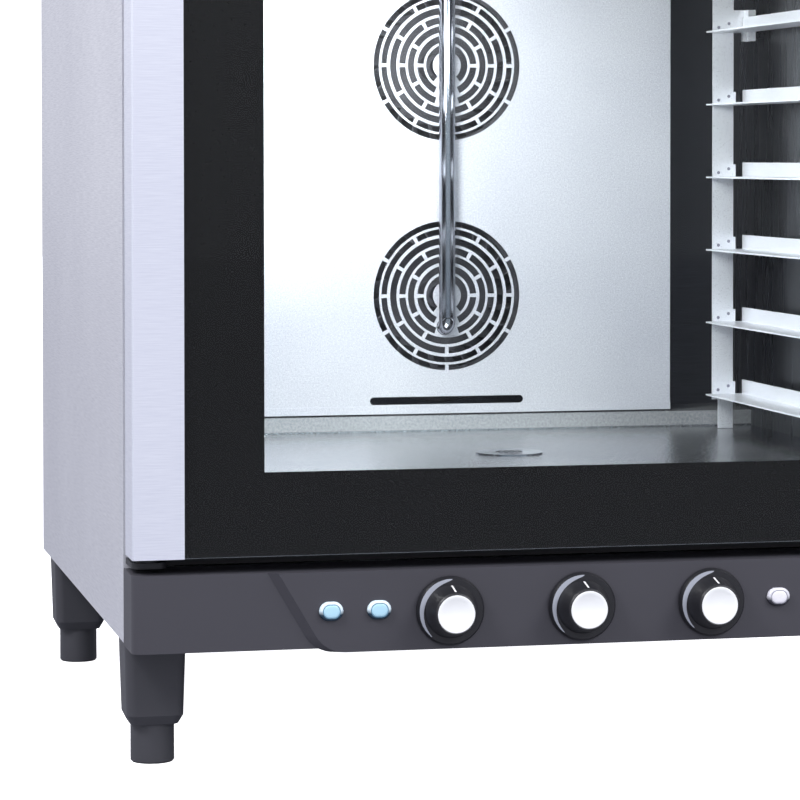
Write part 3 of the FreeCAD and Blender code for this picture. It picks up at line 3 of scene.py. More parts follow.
import bmesh
import bpy
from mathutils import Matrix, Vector


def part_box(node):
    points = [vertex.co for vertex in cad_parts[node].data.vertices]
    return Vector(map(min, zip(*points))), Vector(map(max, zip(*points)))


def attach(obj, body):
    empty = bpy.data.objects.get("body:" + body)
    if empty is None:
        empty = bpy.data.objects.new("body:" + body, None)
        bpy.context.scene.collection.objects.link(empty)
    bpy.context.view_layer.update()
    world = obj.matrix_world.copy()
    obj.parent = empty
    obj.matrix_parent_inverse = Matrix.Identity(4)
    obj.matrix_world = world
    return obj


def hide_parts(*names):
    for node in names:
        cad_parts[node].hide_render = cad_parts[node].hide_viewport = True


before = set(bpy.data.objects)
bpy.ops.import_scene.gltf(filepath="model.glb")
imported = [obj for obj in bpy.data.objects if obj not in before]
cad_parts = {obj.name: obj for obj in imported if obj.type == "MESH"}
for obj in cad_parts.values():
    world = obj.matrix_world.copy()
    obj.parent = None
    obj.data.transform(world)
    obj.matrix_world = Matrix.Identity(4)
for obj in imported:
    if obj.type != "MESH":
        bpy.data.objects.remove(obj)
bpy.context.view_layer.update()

# ---------------------------------------------------------------- studio
# A plain pale floor under a soft, even sky, two large soft lamps in front, and a long lens that looks
# at the oven's lower left part from slightly left of its centre.
CAMERA_LEFT = 0.346        # metres left of the cabinet's left face
CAMERA_FRONT = 2.761       # metres in front of the cabinet's front plane
CAMERA_HEIGHT = 0.5306
CAMERA_YAW = 13.31         # degrees
CAMERA_PITCH = -1.56
LENS_MM = 144.4
LENS_SHIFT_SIDE = -0.0863
LENS_SHIFT_UP = -0.195

cabinet_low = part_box("side_panel_left")[0]
side_x = cabinet_low.x
front_y = cabinet_low.y


def linear(colour):
    """An sRGB hex colour as linear red, green, blue and alpha."""
    channels = [int(colour[at:at + 2], 16) / 255 for at in (1, 3, 5)]
    return [c / 12.92 if c < 0.04045 else ((c + 0.055) / 1.055) ** 2.4 for c in channels] + [1.0]


def add(tree, kind, inputs=None, **settings):
    """Adds a node, sets its properties, and fills its inputs with values or links to sockets."""
    node = tree.nodes.new(kind)
    for name, value in settings.items():
        setattr(node, name, value)
    for socket, value in (inputs or {}).items():
        if isinstance(value, bpy.types.NodeSocket):
            tree.links.new(value, node.inputs[socket])
        else:
            node.inputs[socket].default_value = value
    return node


camera = bpy.data.objects.new("camera", bpy.data.cameras.new("camera"))
camera.data.lens = LENS_MM
camera.data.sensor_width = 36.0
camera.data.shift_x = LENS_SHIFT_SIDE
camera.data.shift_y = LENS_SHIFT_UP
camera.data.clip_end = 50.0
camera.location = (side_x - CAMERA_LEFT, front_y - CAMERA_FRONT, CAMERA_HEIGHT)
camera.rotation_euler = (math.radians(90 + CAMERA_PITCH), 0, math.radians(-CAMERA_YAW))
bpy.context.scene.collection.objects.link(camera)
bpy.context.scene.camera = camera
bpy.context.scene.view_settings.view_transform = "Standard"

sky = bpy.data.worlds.new("studio_sky")
bpy.context.scene.world = sky
sky.use_nodes = True
tree = sky.node_tree
tree.nodes.clear()
direction = add(tree, "ShaderNodeTexCoord")
parts = add(tree, "ShaderNodeSeparateXYZ", {0: direction.outputs["Generated"]})
upward = add(tree, "ShaderNodeMapRange", {0: parts.outputs["Z"], 1: -0.3, 2: 0.6})
shade = add(tree, "ShaderNodeMix", {0: upward.outputs[0], 6: linear("#9c9ea8"), 7: linear("#eef0f8")},
            data_type="RGBA")
eye = add(tree, "ShaderNodeLightPath")
seen = add(tree, "ShaderNodeMix", {0: eye.outputs["Is Camera Ray"], 6: shade.outputs[2],
                                   7: linear("#ffffff")}, data_type="RGBA")
glow = add(tree, "ShaderNodeBackground", {"Color": seen.outputs[2], "Strength": 1.3})
add(tree, "ShaderNodeOutputWorld", {"Surface": glow.outputs[0]})


def soft_lamp(name, place, target, size, watts):
    """A round white area lamp at a place, aimed at a target."""
    lamp = bpy.data.objects.new(name, bpy.data.lights.new(name, "AREA"))
    lamp.data.shape = "DISK"
    lamp.data.size = size
    lamp.data.energy = watts
    lamp.location = place
    lamp.rotation_euler = (Vector(target) - Vector(place)).to_track_quat("-Z", "Y").to_euler()
    bpy.context.scene.collection.objects.link(lamp)


soft_lamp("key_lamp", (2.4, -2.4, 2.4), (0, 0, 0.4), 1.6, 75)
soft_lamp("fill_lamp", (-1.7, -1.1, 1.9), (-0.4, -0.1, 0.9), 0.8, 36)

floor_mesh = bpy.data.meshes.new("studio_floor")
FLOOR_REACH = 14.0
floor_mesh.from_pydata([(-FLOOR_REACH, -FLOOR_REACH, 0), (FLOOR_REACH, -FLOOR_REACH, 0),
                        (FLOOR_REACH, FLOOR_REACH, 0), (-FLOOR_REACH, FLOOR_REACH, 0)],
                       [], [(0, 1, 2, 3)])
studio_floor = bpy.data.objects.new("studio_floor", floor_mesh)
bpy.context.scene.collection.objects.link(studio_floor)
# Matt floor paint: plain white to the eye, mid grey to the oven, which keeps its lower panels from glaring.
pale_paint = bpy.data.materials.new("pale_floor_paint")
pale_paint.use_nodes = True
pale_paint.node_tree.nodes["Principled BSDF"].inputs["Roughness"].default_value = 0.9
tree = pale_paint.node_tree
eye = add(tree, "ShaderNodeLightPath")
paint = add(tree, "ShaderNodeMix", {0: eye.outputs["Is Camera Ray"], 6: linear("#8d8e95"),
                                    7: linear("#f7f7fa")}, data_type="RGBA")
tree.links.new(paint.outputs[2], tree.nodes["Principled BSDF"].inputs["Base Color"])
tree.nodes["Principled BSDF"].inputs["Emission Color"].default_value = linear("#ffffff")
tree.links.new(eye.outputs["Is Camera Ray"], tree.nodes["Principled BSDF"].inputs["Emission Strength"])
floor_mesh.materials.append(pale_paint)


# ---------------------------------------------------------------- cabinet panels
# Side and top panels of stainless sheet, satin ground along their length. The front strips of
# the door come from the same sheet.
def give(material, *nodes):
    """Puts one material on whole CAD nodes."""
    for name in nodes:
        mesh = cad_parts[name].data
        mesh.materials.clear()
        mesh.materials.append(material)


def shaded(name, surface_inputs):
    """A new material with its principled shader and object coordinates."""
    material = bpy.data.materials.new(name)
    material.use_nodes = True
    tree = material.node_tree
    surface = tree.nodes["Principled BSDF"]
    for socket, value in surface_inputs.items():
        surface.inputs[socket].default_value = value
    place = add(tree, "ShaderNodeTexCoord")
    return material, tree, surface, place.outputs["Object"]


def ground_steel(name, light, dark, grain_scale, roughness, metallic, depth=0.00004):
    """Satin-ground stainless steel: long fine scratches in one direction and faint clouding.

    grain_scale is the number of scratches per metre along X, Y and Z."""
    material, tree, surface, place = shaded(name, {"Metallic": metallic})
    stretched = add(tree, "ShaderNodeMapping", {"Vector": place, "Scale": grain_scale})
    grain = add(tree, "ShaderNodeTexNoise", {"Vector": stretched.outputs[0], "Scale": 1.0, "Detail": 3.0,
                                             "Roughness": 0.65})
    cloud = add(tree, "ShaderNodeTexNoise", {"Vector": place, "Scale": 5.0, "Detail": 2.0})
    mixed = add(tree, "ShaderNodeMix", {0: 0.22, 2: grain.outputs[0], 3: cloud.outputs[0]})
    colours = add(tree, "ShaderNodeMix", {0: mixed.outputs[0], 6: linear(dark), 7: linear(light)},
                  data_type="RGBA")
    gloss = add(tree, "ShaderNodeMapRange", {0: mixed.outputs[0], 1: 0.3, 2: 0.7, 3: roughness + 0.08,
                                             4: roughness - 0.08})
    scratch = add(tree, "ShaderNodeBump", {"Height": grain.outputs[0], "Strength": 0.35, "Distance": depth})
    tree.links.new(colours.outputs[2], surface.inputs["Base Color"])
    tree.links.new(gloss.outputs[0], surface.inputs["Roughness"])
    tree.links.new(scratch.outputs[0], surface.inputs["Normal"])
    return material


SCRATCH_LENGTH = 0.030
SCRATCH_WIDTH = 0.0008     # drawn coarser than the real 0.1 mm grit so that it shows
along = 1 / SCRATCH_LENGTH
across = 1 / SCRATCH_WIDTH

# Satin sheet: fine streaks and faint clouds give a soft, bluish-silver sheen with no sharp reflection.
side_steel = ground_steel("satin_stainless_side", "#fafaff", "#a2a3ae", (along, along, across), 0.42, 0.5)
# The lid is a little duller than the side panels, and darker as painted shade.
lid_steel = ground_steel("satin_stainless_lid", "#c2c3cc", "#9899a4", (along, across, along), 0.5, 0.4)
# Mill-finish sheet: greyer and a little glossier than the panels.
inner_steel = ground_steel("plain_stainless_inner", "#c4c6cc", "#a2a4ac", (along, along, across), 0.35, 0.8)
give(side_steel, "side_panel_left", "side_panel_right")
give(lid_steel, "top_panel")
# Near-black steel: painted shade, so the gap around the door reads as a dark line.
shadow_steel = ground_steel("near_black_painted_shade_steel", "#2b2b2f", "#1b1b1e", (along, along, across), 0.5, 0.2)
give(inner_steel, "door_rail_top", "door_rail_bottom")
give(shadow_steel, "front_frame", "hinge_brackets")

# Hot-dip galvanised sheet: 7 mm zinc spangles give a patchwork of light and dull grey flakes.
zinc, tree, surface, place = shaded("galvanised_sheet", {"Metallic": 0.75})
spangle = add(tree, "ShaderNodeTexVoronoi", {"Vector": place, "Scale": 140.0})
cloud = add(tree, "ShaderNodeTexNoise", {"Vector": place, "Scale": 9.0, "Detail": 4.0})
flake = add(tree, "ShaderNodeMix", {0: 0.6, 6: spangle.outputs["Color"], 7: cloud.outputs[0]},
            data_type="RGBA")
bright = add(tree, "ShaderNodeSeparateColor", {0: flake.outputs[2]})
tint = add(tree, "ShaderNodeMix", {0: bright.outputs[0], 6: linear("#8b9096"), 7: linear("#c3c8cc")},
           data_type="RGBA")
dull = add(tree, "ShaderNodeMapRange", {0: bright.outputs[0], 3: 0.55, 4: 0.35})
tree.links.new(tint.outputs[2], surface.inputs["Base Color"])
tree.links.new(dull.outputs[0], surface.inputs["Roughness"])
give(zinc, "back_panel", "base_tray")


# ---------------------------------------------------------------- feet
# Four tapered feet moulded in glass-filled nylon, each with a round levelling pad screwed into it.
def moulded(name, colour, roughness, grit_mm, depth, mottle=0.06):
    """Moulded plastic with a spark-eroded skin: fine pits and a faint mottle."""
    material, tree, surface, place = shaded(name, {"IOR": 1.5})
    pits = add(tree, "ShaderNodeTexNoise", {"Vector": place, "Scale": 1000 / grit_mm, "Detail": 2.0})
    cloud = add(tree, "ShaderNodeTexNoise", {"Vector": place, "Scale": 18.0, "Detail": 3.0})
    base = linear(colour)
    low = [c * (1 - mottle) for c in base[:3]] + [1.0]
    high = [c * (1 + mottle) for c in base[:3]] + [1.0]
    tint = add(tree, "ShaderNodeMix", {0: cloud.outputs[0], 6: low, 7: high}, data_type="RGBA")
    gloss = add(tree, "ShaderNodeMapRange", {0: pits.outputs[0], 3: roughness - 0.07, 4: roughness + 0.07})
    skin = add(tree, "ShaderNodeBump", {"Height": pits.outputs[0], "Strength": 0.4, "Distance": depth})
    tree.links.new(tint.outputs[2], surface.inputs["Base Color"])
    tree.links.new(gloss.outputs[0], surface.inputs["Roughness"])
    tree.links.new(skin.outputs[0], surface.inputs["Normal"])
    return material


CORNERS = ("front_left", "front_right", "rear_left", "rear_right")
# Glass-filled nylon: dark grey with a dry, even skin and a soft highlight.
foot_nylon = moulded("dark_grey_nylon", "#3d3d43", 0.5, 0.9, 0.00005)
give(foot_nylon, "foot_bodies", *["foot_adjuster_" + corner for corner in CORNERS])

# ---------------------------------------------------------------- cooking chamber
# Welded chamber of stainless sheet: glossy side walls and ceiling painted dark as shade, a satin rear wall,
# and a floor pan rolled with a fine leather grain that breaks up its reflections.
def spotted_steel(name, light, dark, speck_mm, roughness, metallic, dent):
    """Stainless steel with an even, directionless grain, as rolled or blasted."""
    material, tree, surface, place = shaded(name, {"Metallic": metallic})
    speck = add(tree, "ShaderNodeTexNoise", {"Vector": place, "Scale": 1000 / speck_mm, "Detail": 2.0})
    cloud = add(tree, "ShaderNodeTexNoise", {"Vector": place, "Scale": 3.5, "Detail": 3.0})
    mixed = add(tree, "ShaderNodeMix", {0: 0.45, 2: speck.outputs[0], 3: cloud.outputs[0]})
    colours = add(tree, "ShaderNodeMix", {0: mixed.outputs[0], 6: linear(dark), 7: linear(light)},
                  data_type="RGBA")
    gloss = add(tree, "ShaderNodeMapRange", {0: speck.outputs[0], 1: 0.3, 2: 0.7, 3: roughness - 0.06,
                                             4: roughness + 0.06})
    grain = add(tree, "ShaderNodeBump", {"Height": speck.outputs[0], "Strength": 0.5, "Distance": dent})
    tree.links.new(colours.outputs[2], surface.inputs["Base Color"])
    tree.links.new(gloss.outputs[0], surface.inputs["Roughness"])
    tree.links.new(grain.outputs[0], surface.inputs["Normal"])
    return material


PAN_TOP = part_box("cavity_wrap")[0].z    # the floor pan's upper face; the ledge above it is blasted matt
# Side walls and ceiling: near black as painted shade, with long upright streaks that are partly grain and
# partly painted reflections, and a low gloss.
wall_steel = ground_steel("glossy_stainless_painted_shade", "#3f3f43", "#29292c", (along, 55, 2), 0.28, 0.75)
# Rear wall: sheet painted mid grey as shade, with a soft sheen, seen mostly through the grilles.
rear_steel = ground_steel("shaded_stainless_rear", "#63636a", "#3f3f45", (along, along, across), 0.4, 0.8)
# Leather-rolled floor: a 2.6 mm pebble blurs the mirror image of the chamber.
pan_steel = spotted_steel("leather_grain_floor", "#ffffff", "#74767e", 2.6, 0.16, 1.0, 0.0011)
tree = pan_steel.node_tree
height = add(tree, "ShaderNodeSeparateXYZ", {0: add(tree, "ShaderNodeTexCoord").outputs["Object"]})
ledge_share = add(tree, "ShaderNodeMapRange", {0: height.outputs["Z"], 1: PAN_TOP + 0.0005,
                                               2: PAN_TOP + 0.002, 3: 1.0, 4: 0.6})
tree.links.new(ledge_share.outputs[0], tree.nodes["Principled BSDF"].inputs["Metallic"])
give(wall_steel, "cavity_wrap")
give(rear_steel, "cavity_back")
give(pan_steel, "cavity_floor")

# ---------------------------------------------------------------- air guide
# Pressed baffle of bright satin stainless in front of the fans, laser-cut with two ringed grilles. The
# fan wheels and heating rings behind it are dulled by heat.
# Blasted satin sheet: a fine, even grain that spreads the lamp into one broad bright field.
guide_steel = spotted_steel("bright_satin_baffle", "#ffffff", "#83849a", 1.5, 0.4, 0.3, 0.0001)
give(guide_steel, "fan_baffle")
# Heat-dulled steel: uneven grey-brown, with no clear reflection.
blade_steel = spotted_steel("heat_dulled_steel", "#77767c", "#4a494e", 6.0, 0.5, 0.7, 0.0001)
give(blade_steel, "fan_wheel_upper", "fan_wheel_lower")
# Heater sheath: blued and sooty, with a dull shine.
sheath = spotted_steel("blued_heater_sheath", "#5d5757", "#373339", 5.0, 0.45, 0.7, 0.0001)
give(sheath, "heater_ring_upper", "heater_ring_lower")
# Polished tube: sharp dark and light bands along its length.
chrome = ground_steel("polished_tube", "#c3c5cc", "#9fa1aa", (60, 60, 12), 0.1, 1.0)
give(chrome, "steam_pipe", "baffle_spacers", "drain_strainer", "motor_shaft_upper", "motor_shaft_lower",
     "spindle_temperature", "spindle_time", "spindle_steam")
give(inner_steel, "drain_pipe", "exhaust_pipe")


def cast(name, colour, grain_mm, metallic, depth):
    """Rough sand-cast or turned metal with a soft mottle."""
    material, tree, surface, place = shaded(name, {"Metallic": metallic})
    skin = add(tree, "ShaderNodeTexNoise", {"Vector": place, "Scale": 1000 / grain_mm, "Detail": 4.0})
    low = [c * 0.75 for c in linear(colour)[:3]] + [1.0]
    tint = add(tree, "ShaderNodeMix", {0: skin.outputs[0], 6: low, 7: linear(colour)}, data_type="RGBA")
    gloss = add(tree, "ShaderNodeMapRange", {0: skin.outputs[0], 3: 0.55, 4: 0.35})
    rough = add(tree, "ShaderNodeBump", {"Height": skin.outputs[0], "Strength": 0.5, "Distance": depth})
    tree.links.new(tint.outputs[2], surface.inputs["Base Color"])
    tree.links.new(gloss.outputs[0], surface.inputs["Roughness"])
    tree.links.new(rough.outputs[0], surface.inputs["Normal"])
    return material


# Sand-cast aluminium: a coarse, pale grey skin. Turned brass: warm yellow with a fine tool grain.
alloy = cast("sand_cast_aluminium", "#a3a5aa", 1.8, 0.85, 0.0001)
brass = cast("turned_brass", "#c9a25a", 0.9, 1.0, 0.00003)
give(alloy, "fan_motor_upper", "fan_motor_lower")
give(brass, "water_valve", "hinge_bushes")
# Mineral wool: deep, matt, tawny tufts.
wool = moulded("mineral_wool", "#a89a72", 0.9, 4.0, 0.002, 0.25)
give(wool, "insulation")

# ---------------------------------------------------------------- racks
# Runners of bright electropolished sheet welded to two posts. Each tab shows two small weld dots.
# Electropolished sheet: nearly white, with a smooth soft shine. The spot welds are duller and greyer.
rack_steel = spotted_steel("electropolished_sheet", "#ffffff", "#dcdde8", 1.2, 0.32, 0.4, 0.00002)
weld_grey = spotted_steel("spot_weld", "#a5a6b2", "#77788a", 0.8, 0.5, 0.8, 0.0001)
give(rack_steel, "rack_left", "rack_right")

RUNNERS = 6
RUNNER_PITCH = 0.075
FIRST_RUNNER = 0.285
TAB_FRONT = 0.4105          # behind the cabinet's front plane
TAB_WELDS = ((0.277, 0.004), (0.288, 0.008))    # sideways from the middle, and above the runner
WELD_RADIUS = 0.0017
WELD_HEIGHT = 0.0003


def finished(name, mesh, *materials):
    """Turns a bmesh into a linked object with its materials."""
    data = bpy.data.meshes.new(name)
    mesh.to_mesh(data)
    mesh.free()
    piece = bpy.data.objects.new(name, data)
    bpy.context.scene.collection.objects.link(piece)
    for material in materials:
        data.materials.append(material)
    return piece


def turned(name, profile, centre, materials, sides=96, bands=None):
    """A lathe-turned piece about the Y direction, from (radius, y) points that start and end at 0."""
    mesh = bmesh.new()
    rings = []
    for radius, y in profile:
        if radius == 0:
            rings.append([mesh.verts.new((centre[0], y, centre[1]))])
            continue
        rings.append([mesh.verts.new((centre[0] + radius * math.cos(math.tau * step / sides), y,
                                      centre[1] + radius * math.sin(math.tau * step / sides)))
                      for step in range(sides)])
    for band, (ring, following) in enumerate(zip(rings, rings[1:])):
        for step in range(sides):
            ahead = (step + 1) % sides
            corners = [ring[step % len(ring)], ring[ahead % len(ring)],
                       following[ahead % len(following)], following[step % len(following)]]
            face = mesh.faces.new(list(dict.fromkeys(corners)))
            face.material_index = bands[band] if bands else 0
            face.smooth = True
    bmesh.ops.recalc_face_normals(mesh, faces=mesh.faces)
    piece = finished(name, mesh, *materials)
    piece.data.set_sharp_from_angle(angle=math.radians(35))
    return piece


def scattered(name, places, source, material, turn, seed):
    """Copies of source on the given places, made with geometry nodes, as one plain mesh."""
    tree = bpy.data.node_groups.new(name, "GeometryNodeTree")
    sockets = {}
    for label, kind, way in (("Places", "Geometry", "INPUT"), ("Piece", "Object", "INPUT"),
                             ("Largest turn", "Float", "INPUT"), ("Seed", "Int", "INPUT"),
                             ("Copies", "Geometry", "OUTPUT")):
        socket = tree.interface.new_socket(label, in_out=way, socket_type="NodeSocket" + kind)
        sockets[label] = socket.identifier
    ways_in = add(tree, "NodeGroupInput")
    piece = add(tree, "GeometryNodeObjectInfo", {"Object": ways_in.outputs["Piece"]})
    angle = add(tree, "FunctionNodeRandomValue", {2: 0.0, 3: ways_in.outputs["Largest turn"],
                                                  "Seed": ways_in.outputs["Seed"]}, data_type="FLOAT")
    about_y = add(tree, "ShaderNodeCombineXYZ", {"Y": angle.outputs[1]})
    copies = add(tree, "GeometryNodeInstanceOnPoints", {
        "Points": ways_in.outputs["Places"], "Instance": piece.outputs["Geometry"],
        "Rotation": about_y.outputs[0]})
    real = add(tree, "GeometryNodeRealizeInstances", {"Geometry": copies.outputs[0]})
    finish = add(tree, "GeometryNodeSetMaterial", {"Geometry": real.outputs[0], "Material": material})
    add(tree, "NodeGroupOutput", {0: finish.outputs[0]})
    points = bpy.data.meshes.new(name + "_places")
    points.from_pydata([tuple(place) for place in places], [], [])
    carrier = bpy.data.objects.new(name, points)
    bpy.context.scene.collection.objects.link(carrier)
    modifier = carrier.modifiers.new("copies", "NODES")
    modifier.node_group = tree
    modifier[sockets["Piece"]] = source
    modifier[sockets["Largest turn"]] = turn
    modifier[sockets["Seed"]] = seed
    bpy.context.view_layer.update()
    graph = bpy.context.evaluated_depsgraph_get()
    carrier_mesh = bpy.data.meshes.new_from_object(carrier.evaluated_get(graph))
    carrier.modifiers.clear()
    carrier.data = carrier_mesh
    bpy.data.objects.remove(source)
    return carrier


for side in (-1, 1):
    rack_name = "rack_left" if side < 0 else "rack_right"
    places = [(side * x, front_y + TAB_FRONT, FIRST_RUNNER + RUNNER_PITCH * level + z)
              for level in range(RUNNERS) for x, z in TAB_WELDS]
    dot = turned("weld_dot", ((0, 0.0001), (WELD_RADIUS, 0.0001), (WELD_RADIUS, -WELD_HEIGHT / 2),
                              (WELD_RADIUS / 2, -WELD_HEIGHT), (0, -WELD_HEIGHT)), (0, 0), (weld_grey,), 12)
    welds = scattered(rack_name + "_welds", places, dot, weld_grey, 0.0, 3)
    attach(welds, rack_name)

# ---------------------------------------------------------------- control fascia
# One hollow moulding in slate-grey ABS with a spark-eroded skin and a raised, slant-ended middle.
# Spark-eroded ABS: slate grey with a fine dull grain. The small mouldings are the same in black, and the
# silicone is softer-looking, blacker and matt.
fascia_abs = moulded("slate_grey_abs", "#3d3c43", 0.5, 0.8, 0.00004)
black_moulding = moulded("black_abs", "#1d1d20", 0.42, 0.8, 0.00004)
silicone = moulded("black_silicone", "#161617", 0.7, 1.2, 0.00006)
give(fascia_abs, "control_fascia")
give(black_moulding, "regulators", "button_switches", "cooling_fan_frame", "cooling_fan_rotor",
     "cable_gland", "door_catch")
give(silicone, "door_gasket")

# ---------------------------------------------------------------- knobs
# Black moulded knobs with a wide skirt and a tapering grip, a satin-white cap disc, a light grey painted
# highlight in an arc on the skirt and a short white pointer on the grip.
# Knob ABS: black with a fine sheen. The cap is smoother and satin white, and the painted highlight arc and
# the printed pointer are flat paint.
knob_black = moulded("knob_black_abs", "#1b1b20", 0.4, 0.9, 0.00005)
cap_white = moulded("satin_white_cap", "#f6f7f8", 0.35, 2.0, 0.00002, 0.02)
highlight_grey = moulded("light_grey_painted_highlight", "#a9adb8", 0.5, 2.0, 0.00001, 0.04)
pointer_white = moulded("printed_white", "#f2f2f4", 0.5, 2.0, 0.00001, 0.02)

CAP_RADIUS = 0.0164
CAP_GROOVE = 0.0006
GRIP_RADIUS = 0.0227
SKIRT_FLAT = 0.028
WEDGE_INNER = 0.0235
WEDGE_OUTER = 0.0279
WEDGE_START = 88.0          # degrees from +X towards +Z, where the wedge is a hairline
WEDGE_END = 232.0
WEDGE_STEPS = 48
PRINT = 0.00015             # how far the painted highlight arc and the printed pointer stand proud
HAIRLINE = 0.0004
SKIRT_HEIGHT = 0.006
SKIRT_EDGE = 0.003
GRIP_FOOT = 0.0006
GRIP_ROUND = 0.001
SHOULDER = 0.0022           # the grip's upper end, outside the cap
SHOULDER_DROP = 0.0016
CAP_RIM = 0.0014
CAP_RIM_DROP = 0.0005
POINTER_HALF_WIDTH = 0.0008
POINTER_SINK = 0.0002
POINTER_OUTER_GAP = 0.0003
POINTER_INNER_GAP = 0.0026


def wedge(mesh, centre, y, index):
    """A painted highlight: a light grey arc that swells and thins again, as a slightly raised strip."""
    rows = []
    for step in range(WEDGE_STEPS + 1):
        share = step / WEDGE_STEPS
        angle = math.radians(WEDGE_START + (WEDGE_END - WEDGE_START) * share)
        swell = math.sin(math.pi * share ** 0.75) ** 0.8
        inner = WEDGE_OUTER - HAIRLINE - (WEDGE_OUTER - HAIRLINE - WEDGE_INNER) * swell
        rows.append([mesh.verts.new((centre[0] + radius * math.cos(angle), depth,
                                     centre[1] + radius * math.sin(angle)))
                     for radius, depth in ((inner, y), (WEDGE_OUTER, y), (WEDGE_OUTER, y - PRINT),
                                           (inner, y - PRINT))])
    for row, following in zip(rows, rows[1:]):
        for corner in range(4):
            ahead = (corner + 1) % 4
            face = mesh.faces.new((row[corner], row[ahead], following[ahead], following[corner]))
            face.material_index = index
    for row in (rows[0], rows[-1]):
        mesh.faces.new(row).material_index = index


def knob(which):
    """A turned knob with its cap, painted highlight arc and pointer, in place of the CAD one."""
    low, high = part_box("knob_" + which)
    centre = ((low.x + high.x) / 2, (low.z + high.z) / 2)
    radius = (high.x - low.x) / 2
    base, front = high.y, low.y
    skirt = base - SKIRT_HEIGHT
    profile = ((0, base), (radius, base), (radius, base - SKIRT_EDGE), (SKIRT_FLAT, skirt),
               (GRIP_RADIUS + GRIP_FOOT, skirt), (GRIP_RADIUS, skirt - GRIP_ROUND),
               (CAP_RADIUS + SHOULDER, front + SHOULDER_DROP), (CAP_RADIUS + CAP_RIM, front + CAP_RIM_DROP),
               (CAP_RADIUS + CAP_GROOVE, front), (CAP_RADIUS, front + 0.0004),
               (CAP_RADIUS - 0.0004, front), (CAP_RADIUS * 0.82, front), (CAP_RADIUS * 0.8, front + 0.0002),
               (0, front + 0.0003))
    bands = [0] * 9 + [1] * 4
    piece = turned("knob_body_" + which, profile, centre, (knob_black, cap_white, highlight_grey, pointer_white),
                   128, bands)
    mesh = bmesh.new()
    mesh.from_mesh(piece.data)
    # The light grey arc on the skirt is a painted highlight.
    wedge(mesh, centre, skirt, 2)
    top_inner, top_outer = CAP_RADIUS + POINTER_INNER_GAP, GRIP_RADIUS - POINTER_OUTER_GAP
    slope = (skirt - GRIP_ROUND - front - SHOULDER_DROP) / (GRIP_RADIUS - CAP_RADIUS - SHOULDER)
    corners = []
    for lift in (POINTER_SINK, -PRINT):
        for reach, side in ((top_inner, -1), (top_inner, 1), (top_outer, 1), (top_outer, -1)):
            y = front + SHOULDER_DROP + slope * (reach - CAP_RADIUS - SHOULDER) + lift
            corners.append(mesh.verts.new((centre[0] + side * POINTER_HALF_WIDTH, y, centre[1] + reach)))
    for quad in ((0, 1, 2, 3), (4, 5, 6, 7), (0, 1, 5, 4), (1, 2, 6, 5), (2, 3, 7, 6), (3, 0, 4, 7)):
        mesh.faces.new([corners[index] for index in quad]).material_index = 3
    bmesh.ops.recalc_face_normals(mesh, faces=mesh.faces)
    mesh.to_mesh(piece.data)
    mesh.free()
    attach(piece, "knob_" + which)
    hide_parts("knob_" + which)


for which in ("temperature", "time", "steam"):
    knob(which)

# ---------------------------------------------------------------- lamps and keys
# Domed oval lenses in the fascia: two pale-blue pilot lamps and two white keys. Each has a bevel with a
# painted highlight above and painted navy shade below, and a flatter face set off by a thin groove coloured
# darker as painted shade.
def painted_light_bevel(name, upper, lower, centre_z, half_height):
    """Two-colour bevel: a painted highlight above and painted shade below, with a soft change between."""
    material, tree, surface, place = shaded(name, {"IOR": 1.5, "Roughness": 0.2})
    parts = add(tree, "ShaderNodeSeparateXYZ", {0: place})
    rise = add(tree, "ShaderNodeMapRange", {0: parts.outputs["Z"], 1: centre_z - 0.35 * half_height,
                                            2: centre_z + 0.15 * half_height})
    grit = add(tree, "ShaderNodeTexNoise", {"Vector": place, "Scale": 900.0})
    shade = add(tree, "ShaderNodeMix", {0: rise.outputs[0], 6: linear(lower), 7: linear(upper)},
                data_type="RGBA")
    soft = add(tree, "ShaderNodeMapRange", {0: grit.outputs[0], 3: 0.15, 4: 0.3})
    skin = add(tree, "ShaderNodeBump", {"Height": grit.outputs[0], "Strength": 0.2, "Distance": 0.00002})
    tree.links.new(shade.outputs[2], surface.inputs["Base Color"])
    tree.links.new(soft.outputs[0], surface.inputs["Roughness"])
    tree.links.new(skin.outputs[0], surface.inputs["Normal"])
    return material


lens_low, lens_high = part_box("pilot_lamps")
oval_z = (lens_low.z + lens_high.z) / 2
oval_half = (lens_high.z - lens_low.z) / 2
# Tinted lens: pale icy blue with a clean highlight. The key is off-white, and each has a fine groove around
# its face, coloured darker as painted shade.
lens_blue = moulded("pale_blue_lens", "#b3dcf0", 0.22, 3.0, 0.00001, 0.1)
key_white = moulded("white_key", "#eceaf2", 0.28, 3.0, 0.00001, 0.03)
shaded_groove_blue = moulded("blue_groove_painted_shade", "#5f8ba6", 0.4, 2.0, 0.00001)
shaded_groove_grey = moulded("grey_groove_painted_shade", "#9a9aa6", 0.4, 2.0, 0.00001)
# The bevels carry a painted highlight above and painted shade below.
lamp_bevel_painted_light = painted_light_bevel("lamp_bevel_painted_light", "#dff0fa", "#1f3648", oval_z, oval_half)
key_bevel_painted_light = painted_light_bevel("key_bevel_painted_light", "#dddce6", "#34343d", oval_z, oval_half)

OVAL_SIDES = 64
OVAL_RINGS = ((0.0, 0.0), (0.0, 0.62), (0.06, 0.8), (0.16, 0.92), (0.26, 0.97), (0.30, 0.90), (0.34, 0.96),
              (0.5, 1.0), (0.8, 1.0))      # inset and advance, as shares of the half height and depth
OVAL_BANDS = (0, 0, 0, 0, 1, 1, 2, 2)      # bevel, groove or face, for each step between two rings; the groove is coloured darker as painted shade
